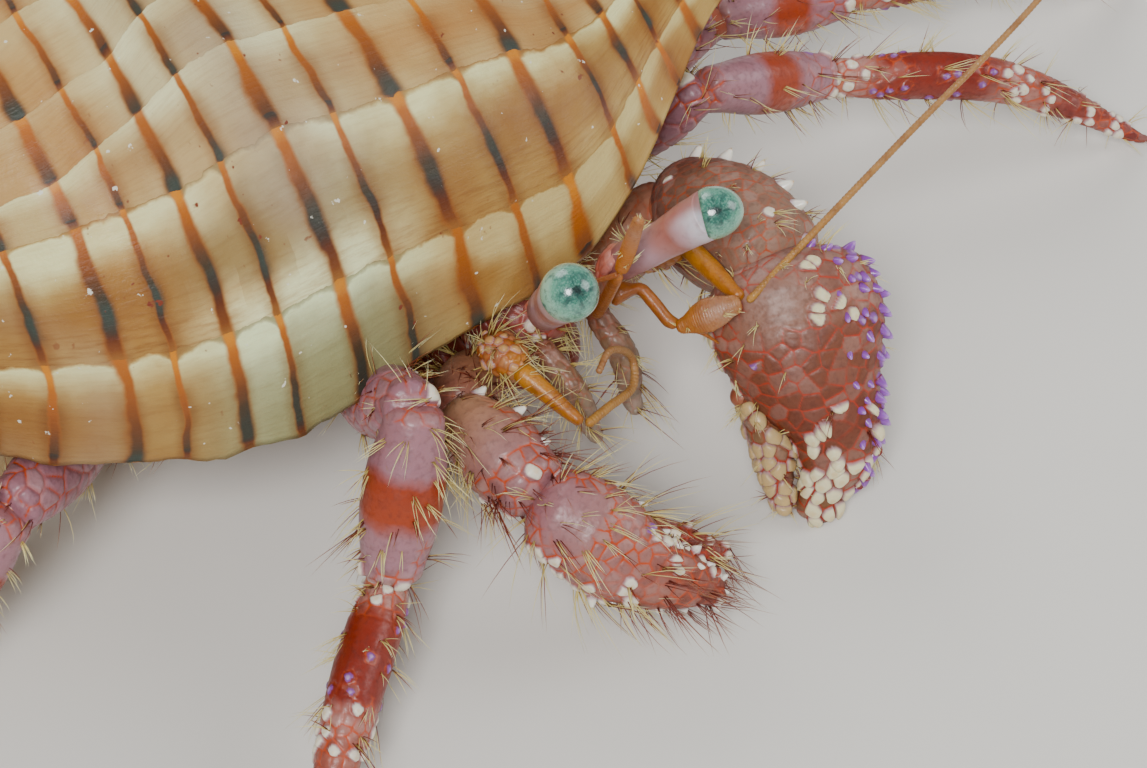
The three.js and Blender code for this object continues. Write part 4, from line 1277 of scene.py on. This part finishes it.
    def spines(self, side, palm, carpus):
        """Rows of solid spines along the outer edge of the palm and of the wrist plate."""
        random = np.random.default_rng(31 if side == "left" else 32)
        grid, normals, along = SKINS[palm]
        rings, sides = grid.shape[:2]
        rows = [
            (0.02, 0.84, 0.49, 15, 1.0, 0.7), (0.05, 0.8, 0.44, 13, 1.0, 0.6),
            (0.1, 0.74, 0.385, 11, 1.0, 0.5), (0.2, 0.66, 0.335, 6, 1.0, 0.4),
            (0.1, 0.8, 0.55, 10, 1.0, 0.5),
        ]
        if side == "right":
            rows = [
                (0.3, 0.92, 0.5, 6, 0.0, 0.5), (0.45, 0.95, 0.02, 8, 0.0, 0.5),
                (0.5, 0.95, 0.4, 5, 0.0, 0.4),
            ]
        roots, aims, lengths, tones = [], [], [], []
        for low, high, turn, count, tone, length in rows:
            ring_places = (np.linspace(low, high, count) + random.normal(0, 0.008, count)) * rings
            i = np.clip(ring_places, 0, rings - 1).astype(int)
            j = ((turn + random.normal(0, 0.012, count)) * sides).astype(int) % sides
            roots.append(grid[i, j] - normals[i, j] * 0.25 * MM)
            aims.append(unit(normals[i, j] + 0.55 * along[i, j] + random.normal(0, 0.12, (count, 3))))
            lengths.append(length * MM * random.uniform(0.8, 1.25, count) + 0.25 * MM)
            tones.append(np.full(count, tone))
        grid, normals, along = SKINS[carpus]
        rings, sides = grid.shape[:2]
        count = 6 if side == "left" else 4
        i = (np.linspace(0.12, 0.95, count) * rings).astype(int)
        j = ((0.47 + random.normal(0, 0.02, count)) * sides).astype(int) % sides
        roots.append(grid[i, j] - normals[i, j] * 0.3 * MM)
        aims.append(unit(normals[i, j] + 0.5 * along[i, j]))
        lengths.append((1.05 if side == "left" else 0.7) * MM * random.uniform(0.8, 1.2, count) + 0.3 * MM)
        tones.append(np.zeros(count))
        lengths = np.concatenate(lengths)
        spikes(
            f"cheliped_{side}_spines", np.concatenate(roots), np.concatenate(aims), lengths,
            lengths * 0.48, [palm, carpus], thorn(), rings=8, sides=12, taper=0.62,
            tone=np.concatenate(tones),
        )


class CRAB_OT_eyes(bpy.types.Operator):
    """Builds the eyestalks with their corneas and the small scales at their roots"""

    bl_idname = "crab.eyes"
    bl_label = "Eyes"

    def execute(self, context):
        stalk_skin = plain_skin("eyestalk_chitin", [
            (0.0, "#7A342A"), (0.2, "#8C5658"), (0.45, "#AE8A92"), (0.58, "#AC7874"), (0.68, "#A46A60"),
            (0.78, "#C4ACB4"), (0.9, "#D4CCD4"), (1.0, "#D0C8D0"),
        ], ("#A0584C", 0.45), 0.4, scale=240, soft=0.25, bumps=0.00002, coat=0.12)
        scale_skin = chitin("eye_scale_chitin", [(0, "#B8483A"), (1, "#D8A094")], net_share=0.6)
        wet = star_cornea()
        above = np.cross(CLAW_FACE, ASIDE)
        for number, side in enumerate(("left", "right")):
            stalk, cornea = f"eyestalk_{side}", f"cornea_{side}"
            border = meeting(stalk, cornea)
            base, tip = far_end(stalk, border), far_end(cornea, border)
            aim = unit(tip - base)
            _, widths, heights, _, _ = sections(cornea, base, tip, UP, np.array([0.25, 0.45]))
            radius = 0.47 * (widths.max() + heights.max())
            left = side == "left"
            gaze = unit(aim - 0.55 * CLAW_FACE - 0.22 * above) if left else aim
            radius *= 0.92 if left else 1.0
            foot_ring = border + (0.1 if left else 0.5) * aim * MM
            path = [
                base - aim * 0.6 * MM, base + aim * 0.6 * MM, base * 0.75 + border * 0.25,
                (base + border) / 2,
                base * 0.22 + border * 0.78, foot_ring + gaze * 0.12 * MM,
            ]
            girth = radius * np.array([0.5, 0.72, 0.76, 0.78, 0.9, 1.0])
            grid, _, _ = oval_tube(path, girth, girth, UP, 90, 72, (0.6, 0.06))
            wrinkle = 0.03 * MM * waves(
                np.linspace(0, 14, 90)[:, None], np.sin(np.linspace(0, FULL, 72))[None] * 2, 3,
            )
            grid = grid + grid_normals(grid) * wrinkle[..., None]
            points, faces, uv = closed_grid(grid)
            reach = np.linalg.norm(border - base)
            far = np.clip((points - base) @ aim / reach, 0, 1)
            beside = points - base - (far * reach)[:, None] * aim
            over = ease(beside @ above / radius, -0.3, 0.3)
            values = {"shade": over * ease(far, 0.6, 0.82)}
            put_mesh(stalk, points, faces, [stalk], stalk_skin, uv, values)
            keep_skin(stalk, grid)
            across = unit(np.cross(gaze, UP))
            top = np.cross(across, gaze)
            cap = (1.3 if left else 1.12) * radius
            rise = np.concatenate([[-0.18, -0.08], np.sin(np.linspace(0, 0.5 * math.pi, 40))])
            bulge = 1.02 + 0.3 * np.minimum(rise, 0)
            dome_girth = np.sqrt(np.maximum(1 - np.maximum(rise, 0) ** 2.2, 0)) * bulge
            turn = FULL * np.arange(64) / 64
            ring = across * np.cos(turn)[:, None] + top * np.sin(turn)[:, None]
            spread = (radius * np.maximum(dome_girth, 0.01))[:, None, None]
            dome = foot_ring + gaze * (cap * rise)[:, None, None] + ring[None] * spread
            points, faces, uv = closed_grid(dome)
            ray = (points - foot_ring - gaze * 0.3 * cap) / radius
            values = {"star_x": ray @ ASIDE + (0.14 if left else -0.2), "star_y": ray @ above + 0.02}
            put_mesh(cornea, points, faces, [cornea], wet, uv, values)
            foot = base - aim * 0.4 * MM
            path = [
                foot - aim * 1.2 * MM + UP * 0.4 * MM, foot + UP * 1.1 * MM,
                foot + aim * 1.6 * MM + UP * 1.25 * MM,
            ]
            scale, _, _ = oval_tube(
                path, [1.3 * MM, 1.2 * MM, 0.4 * MM], [0.5 * MM, 0.5 * MM, 0.2 * MM], UP, 40, 40,
            )
            shell_plate(
                f"eye_scale_{side}", scale, {"cell": 0.8, "dome": 0.05}, [stalk], scale_skin,
                300 + number,
            )
        return {"FINISHED"}


# The routes of the two long whips, in millimetres from the middle between the eyes.
WHIPS = {
    "antenna_left_flagellum": [
        [8.5, -7, 15.1], [22.8, -6.5, 19.9], [34.9, -6.7, 25], [47, -5, 29], [58, -1.5, 31],
    ],
    "antenna_right_flagellum": [
        [-4.8, -6, 12.2], [-2.4, -5.4, 11.5], [0.9, -4.2, 9.9], [1.9, -2.9, 11.1],
        [-0.6, -3.6, 14.2], [-2.6, -4.6, 14.4],
    ],
}


class CRAB_OT_feelers(bpy.types.Operator):
    """Builds the antennules, the antennae with their ringed whips, and the outer mouth limbs"""

    bl_idname = "crab.feelers"
    bl_label = "Feelers and mouth limbs"

    def execute(self, context):
        orange = plain_skin(
            "antenna_chitin", [(0, "#B87C14"), (0.5, "#B27010"), (1, "#A05E10")], ("#7C420C", 0.6), 0.4,
            scale=900, soft=0.3,
        )
        stem = plain_skin(
            "antennule_stem", [(0, "#925014"), (1, "#A05E14")], ("#783A0C", 0.5), 0.4, scale=700, soft=0.4,
        )
        blade = plain_skin(
            "antennule_blade", [(0, "#A05E14"), (0.4, "#A4641C"), (0.7, "#9C6C4C"), (1, "#A06A34")],
            ("#82460C", 0.35), 0.45, scale=700, soft=0.5,
        )
        whip = plain_skin(
            "whip_chitin", [(0, "#A87830"), (0.5, "#A07440"), (1, "#94683C")], ("#7A4410", 0.5), 0.45,
            scale=900, soft=0.2,
        )
        crust = chitin(
            "antenna_base_chitin", [(0, "#A04A1C"), (0.6, "#AC6824"), (1, "#B4781C")], pale="#BE8C56",
            net_share=0.3,
        )
        mouth = chitin(
            "mouth_limb_chitin", [(0, "#7A4630"), (0.4, "#84684E"), (1, "#8E8272")], pale="#B4A892",
            net_share=0.25,
        )
        shares = np.array([0.12, 0.3, 0.5, 0.7, 0.88])
        for side in ("left", "right"):
            stalk, brush = f"antennule_{side}_stalk", f"antennule_{side}_flagellum"
            elbow = meeting(stalk, brush)
            foot = far_end(stalk, elbow)
            for node, start, end in ((stalk, foot, elbow), (brush, elbow, far_end(brush, elbow))):
                grid, _, _ = measured_limb(
                    node, start, end, CLAW_FACE, shares, 90, 40, ends=(0.9, 0.8), overlap=0.2,
                )
                if node == stalk and side == "left":
                    middle = grid.mean(1, keepdims=True)
                    grid = middle + 1.25 * (grid - middle)
                if node == brush:
                    widening = 0.5 if side == "left" else 0.1
                    flat = widening * ease(np.linspace(0, 1, 90), 0, 0.5)[:, None, None]
                    middle = grid.mean(1, keepdims=True)
                    off = grid - middle
                    face = (off @ CLAW_FACE)[..., None] * CLAW_FACE
                    grid = middle + (off - face) * (1 + flat) + face * 0.6
                    ripple = 0.02 * MM * np.cos(FULL * 30 * np.linspace(0, 1, 90))[:, None, None]
                    grid = grid + grid_normals(grid) * ripple
                put_rings(node, grid, [node], blade if node == brush else stem)
                keep_skin(node, grid)
            side_way = ASIDE * (1 if side == "left" else -1)
            path = elbow + np.array([[0.0], [0.7], [1.7], [2.8]]) * MM * side_way
            path[:, 2] -= np.array([0.1, 0.4, 0.9, 1.9]) * MM
            thick = np.array([0.22, 0.18, 0.14, 0.08]) * MM
            grid, _, _ = oval_tube(path, thick, thick, UP, 60, 12, (1, 1))
            put_rings(f"antennule_{side}_lower_whip", grid, [], stem)
            base, stalk, flagellum = (f"antenna_{side}_{part}" for part in ("base", "stalk", "flagellum"))
            knee, tip = meeting(base, stalk), meeting(stalk, flagellum)
            root = far_end(base, knee)
            grid, _, _ = measured_limb(base, root, knee, CLAW_FACE, shares, 70, 72, ends=(0.7, 0.8))
            shell_plate(
                base, grid, {"cell": 0.75, "dome": 0.12, "knobs": [(0.1, 1, 0, 1, 0.2, 0.15, "drop")]},
                [base], crust, 320,
            )
            grid, _, _ = measured_limb(stalk, knee, tip, CLAW_FACE, shares, 60, 44, ends=(1.0, 0.75))
            put_rings(stalk, grid, [stalk], orange)
            keep_skin(stalk, grid)
            low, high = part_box(flagellum)
            route = np.array(WHIPS[flagellum]) * MM
            route += (np.array(low) + np.array(high)) / 2 - (route.min(0) + route.max(0)) / 2
            at_root, at_tip = (0.26, 0.17) if side == "left" else (0.33, 0.22)
            thick = np.linspace(at_root, at_tip, len(route)) * MM
            rings = 900 if side == "left" else 420
            grid, places, length = oval_tube(route, thick, thick, UP + 0.02, rings, 14, (1, 1))
            ripple = 0.014 * MM * np.cos(FULL * places * length / (0.3 * MM))
            grid = grid + grid_normals(grid) * ripple[:, None, None]
            put_rings(flagellum, grid, [flagellum], whip)
            node = f"maxilliped_{side}"
            middle = np.array(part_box("carapace_shield")[0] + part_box("carapace_shield")[1]) / 2
            end = far_end(node, middle)
            grid, _, _ = measured_limb(
                node, far_end(node, end), end, CLAW_FACE, shares, 90, 64, ends=(0.8, 0.6),
            )
            shell_plate(node, grid, {"cell": 0.8, "dome": 0.06}, [node], mouth, 330)
        return {"FINISHED"}


def egg(low, high, rings, sides):
    """An egg that fills a box: circles across Y with half sizes sin(a), its poles at both ends."""
    middle, half = (low + high) / 2, (high - low) / 2
    a = np.linspace(0.02, math.pi - 0.02, rings)[:, None]
    turn = (FULL * np.arange(sides) / sides)[None]
    return np.stack([
        middle[0] + half[0] * np.sin(a) * np.cos(turn), middle[1] + half[1] * np.cos(a) + 0 * turn,
        middle[2] + half[2] * np.sin(a) * np.sin(turn),
    ], 2)


class CRAB_OT_body(bpy.types.Operator):
    """Builds the back shield, the underside, the soft tail and the small bracing legs"""

    bl_idname = "crab.body"
    bl_label = "Body"

    def execute(self, context):
        hard = chitin(
            "back_shield_chitin", [(0, "#985452"), (0.5, "#8E423C"), (1, "#883024")], pale="#DCC8B8",
        )
        under = chitin("underside_chitin", [(0, "#9A4A36"), (1, "#8C3A28")], net_share=0.5)
        soft = plain_skin(
            "soft_tail_skin", [(0, "#C08A78"), (0.5, "#B4787A"), (1, "#C89A84")], ("#8C4A48", 0.5), 0.42,
        )
        for number, (node, material) in enumerate((("carapace_shield", hard), ("thorax", under))):
            low, high = (np.array(corner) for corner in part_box(node))
            grow = 0.12 * (high - low) if node == "thorax" else 0.02 * (high - low)
            grid = egg(low - grow, high + grow, 110, 130)
            style = {"cell": 1.2, "dome": 0.12, "knobs": [(0, 1, 0, 0.5, 0.15, 0.2, "drop")]}
            shell_plate(node, grid, style, [node], material, 340 + number)
        sizes = context.scene.crab_shell
        back = np.arange(12.0, 133.0, 24.0)
        scale = sizes.growth ** (-back / 360)
        path = shell_points(sizes, 0.7 * scale, 0.112 * scale, 90 - back)
        girth = np.array([1.8, 2.9, 3.4, 3.3, 2.7, 1.6]) * MM
        grid, _, _ = oval_tube(path, girth, girth, UP, 110, 64, (0.8, 0.8))
        folds = 0.12 * MM * np.cos(FULL * 9 * np.linspace(0, 1, 110))[:, None, None]
        grid = grid + grid_normals(grid) * folds
        put_rings("abdomen", grid, ["abdomen"], soft)
        for side in ("left", "right"):
            node = f"leg4_{side}"
            shoulder = meeting("thorax", node)
            shares = np.array([0.15, 0.3, 0.5, 0.7, 0.88])
            grid, _, _ = measured_limb(node, shoulder, far_end(node, shoulder), UP, shares, 60, 40)
            put_rings(node, grid, [node], soft)
        return {"FINISHED"}


# ---------------------------------------------------------------- hairs

# Spacing of tufts in mm, share of sites that carry one, length share, lean to the tip, share
# of dark hairs, and how far towards the tip dark ones begin.
COATS = {
    "leg": (1.8, 0.55, 1.25, 0.55, 0.12, 0.5),
    "claw_left": (2.0, 0.4, 0.75, 0.5, 0.12, 0.4),
    "claw_right": (1.35, 0.66, 1.45, 0.7, 0.35, 0.6),
    "head": (1.15, 0.5, 1.15, 0.5, 0.06, 0.5),
    "feeler": (0.9, 0.35, 0.3, 0.5, 0.0, 0.5),
}
COAT_PIECES = [
    *[(f"setae_{leg}", "leg", [f"{leg}_{part}" for part in LEG_PARTS[1:]], k) for k, leg in enumerate(LEGS)],
    ("setae_claw_left", "claw_left", [f"cheliped_left_{part}" for part in CLAW_PARTS], 5),
    ("setae_claw_right", "claw_right", [f"cheliped_right_{part}" for part in CLAW_PARTS], 6),
    (
        "setae_head", "head",
        ["carapace_shield", "maxilliped_left", "maxilliped_right", "antenna_left_base", "antenna_right_base"],
        7,
    ),
    ("setae_feelers", "feeler", ["antennule_left_flagellum", "antennule_right_flagellum"], 8),
]


class CRAB_OT_hairs(bpy.types.Operator):
    """Builds the tufts of stiff hairs on every limb, each hair a closed bent cone"""

    bl_idname = "crab.hairs"
    bl_label = "Stiff hairs"

    def execute(self, context):
        sizes = context.scene.crab_hair
        material = bristle()
        for name, coat, skins, seed in COAT_PIECES:
            spacing, chance, longer, lean, dark, dark_from = COATS[coat]
            random = np.random.default_rng(400 + seed)
            roots, aims, bends, lengths, tones, patches = [], [], [], [], [], []
            for number, skin in enumerate(skins):
                grid, normals, along = SKINS[skin]
                _, i, j = scatter(grid, spacing * MM, 500 + seed * 10 + number, 0.4)
                keep = random.uniform(0, 1, len(i)) < chance
                i, j = i[keep], j[keep]
                count = random.integers(2, 2 * sizes.per_tuft - 1, len(i))
                i, j = np.repeat(i, count), np.repeat(j, count)
                tuft_lean = np.repeat(random.normal(0, 0.3, (len(count), 3)), count, axis=0)
                tuft_long = np.repeat(random.uniform(0.55, 1.35, len(count)), count)
                out, way = normals[i, j], along[i, j]
                spray = random.normal(0, 0.22, (len(i), 3))
                aim = unit(out + lean * way + tuft_lean + spray)
                roots.append(grid[i, j] - out * 0.15 * MM + random.normal(0, 0.09 * MM, (len(i), 3)))
                aims.append(aim)
                bends.append(0.25 * way + random.normal(0, 0.1, (len(i), 3)))
                lengths.append(sizes.length * longer * tuft_long * random.uniform(0.6, 1.25, len(i)))
                place = i / (grid.shape[0] - 1)
                dark_share = dark * (1 + 2.5 * (place > dark_from))
                tones.append((random.uniform(0, 1, len(i)) < dark_share).astype(float))
                patches.append(np.stack([(number + j / grid.shape[1]) / len(skins), place], 1))
            roots, aims, bends = (np.concatenate(part) for part in (roots, aims, bends))
            lengths, tones = np.concatenate(lengths), np.concatenate(tones)
            tips = roots[:, 2] + (aims[:, 2] + bends[:, 2]) * lengths
            halfway = roots[:, 2] + (aims[:, 2] / 2 + bends[:, 2] / 4) * lengths
            above = np.minimum(np.minimum(tips, halfway), roots[:, 2]) > 0.15 * MM
            spikes(
                name, roots[above], aims[above], lengths[above],
                np.full(above.sum(), sizes.thickness) * (0.8 + 0.3 * random.uniform(0, 1, above.sum())),
                skins, material, bends[above], rings=4, sides=3, taper=0.45,
                patch=np.concatenate(patches)[above], tone=tones[above],
            )
        return {"FINISHED"}


# ---------------------------------------------------------------- stage

class CRAB_OT_stage(bpy.types.Operator):
    """Builds the pale floor, the soft lights and the camera"""

    bl_idname = "crab.stage"
    bl_label = "Stage"

    def execute(self, context):
        settings = context.scene.crab_stage
        half = 1.5
        mesh = bpy.data.meshes.new("floor")
        mesh.from_pydata(
            [(-half, -half, 0), (half, -half, 0), (half, half, 0), (-half, half, 0)], [], [(0, 1, 2, 3)],
        )
        floor = bpy.data.objects.new("floor", mesh)
        made, _ = new_material("floor_paint")
        shader = made.node_tree.nodes["Principled BSDF"]
        shader.inputs["Base Color"].default_value = linear(settings.floor)
        shader.inputs["Roughness"].default_value = 0.85
        mesh.materials.append(made)
        context.scene.collection.objects.link(floor)

        world = bpy.data.worlds.new("soft_room")
        world.use_nodes = True
        background = world.node_tree.nodes["Background"]
        background.inputs["Color"].default_value = linear("#E9EDF0")
        background.inputs["Strength"].default_value = 0.36
        context.scene.world = world
        for name, place, size, power in (
            ("key_light", (-0.35, -0.30, 0.55), 0.22, 4.8),
            ("fill_light", (0.45, -0.35, 0.35), 0.35, 1.6),
            ("rim_light", (0.1, 0.5, 0.45), 0.35, 1.6),
        ):
            lamp = bpy.data.lights.new(name, "AREA")
            lamp.size = size
            lamp.energy = power
            light = bpy.data.objects.new(name, lamp)
            light.location = place
            aim = -light.location
            light.rotation_euler = aim.to_track_quat("-Z", "Y").to_euler()
            context.scene.collection.objects.link(light)

        low, high = (np.array(corner) for corner in CAD_BOX)
        target = (low + high) / 2 * [1, 1, 0] + np.array(settings.aim)
        a, e = settings.azimuth, settings.elevation
        back = np.array([math.sin(a) * math.cos(e), -math.cos(a) * math.cos(e), math.sin(e)])
        lens = bpy.data.cameras.new("camera")
        lens.lens = settings.lens
        lens.sensor_width = 36.0
        lens.clip_start, lens.clip_end = 0.005, 20.0
        camera = bpy.data.objects.new("camera", lens)
        camera.location = target + back * settings.distance
        camera.rotation_mode = "QUATERNION"
        away = camera.location.copy()
        away[:] = -back
        camera.rotation_quaternion = away.to_track_quat("-Z", "Y")
        context.scene.collection.objects.link(camera)
        context.scene.camera = camera
        return {"FINISHED"}


class CRAB_PT_panel(bpy.types.Panel):
    """Lists the steps that build the crab"""

    bl_idname = "CRAB_PT_panel"
    bl_label = "Hermit crab"
    bl_space_type = "VIEW_3D"
    bl_region_type = "UI"
    bl_category = "Crab"

    def draw(self, context):
        scene = context.scene
        for settings in (scene.crab_shell, scene.crab_colours, scene.crab_hair, scene.crab_stage):
            for key in settings.__annotations__:
                self.layout.prop(settings, key)
        for step in STEPS:
            self.layout.operator(step.bl_idname)


STEPS = (
    CRAB_OT_shell, CRAB_OT_body, CRAB_OT_legs, CRAB_OT_claws, CRAB_OT_eyes, CRAB_OT_feelers,
    CRAB_OT_hairs, CRAB_OT_stage,
)
CLASSES = (ShellSizes, CrabColours, HairSizes, StageSettings, *STEPS, CRAB_PT_panel)


def register():
    """Registers the settings, the steps and the panel."""
    for each in CLASSES:
        bpy.utils.register_class(each)
    bpy.types.Scene.crab_shell = bpy.props.PointerProperty(type=ShellSizes)
    bpy.types.Scene.crab_colours = bpy.props.PointerProperty(type=CrabColours)
    bpy.types.Scene.crab_hair = bpy.props.PointerProperty(type=HairSizes)
    bpy.types.Scene.crab_stage = bpy.props.PointerProperty(type=StageSettings)


def unregister():
    """Takes everything that register added away again."""
    del bpy.types.Scene.crab_stage
    del bpy.types.Scene.crab_hair
    del bpy.types.Scene.crab_colours
    del bpy.types.Scene.crab_shell
    for each in reversed(CLASSES):
        bpy.utils.unregister_class(each)


def main():
    """Builds every piece in order."""
    register()
    for step in STEPS:
        group, name = step.bl_idname.split(".")
        if getattr(getattr(bpy.ops, group), name)() != {"FINISHED"}:
            raise RuntimeError(f"{step.bl_label} did not finish")


if __name__ == "__main__":
    main()
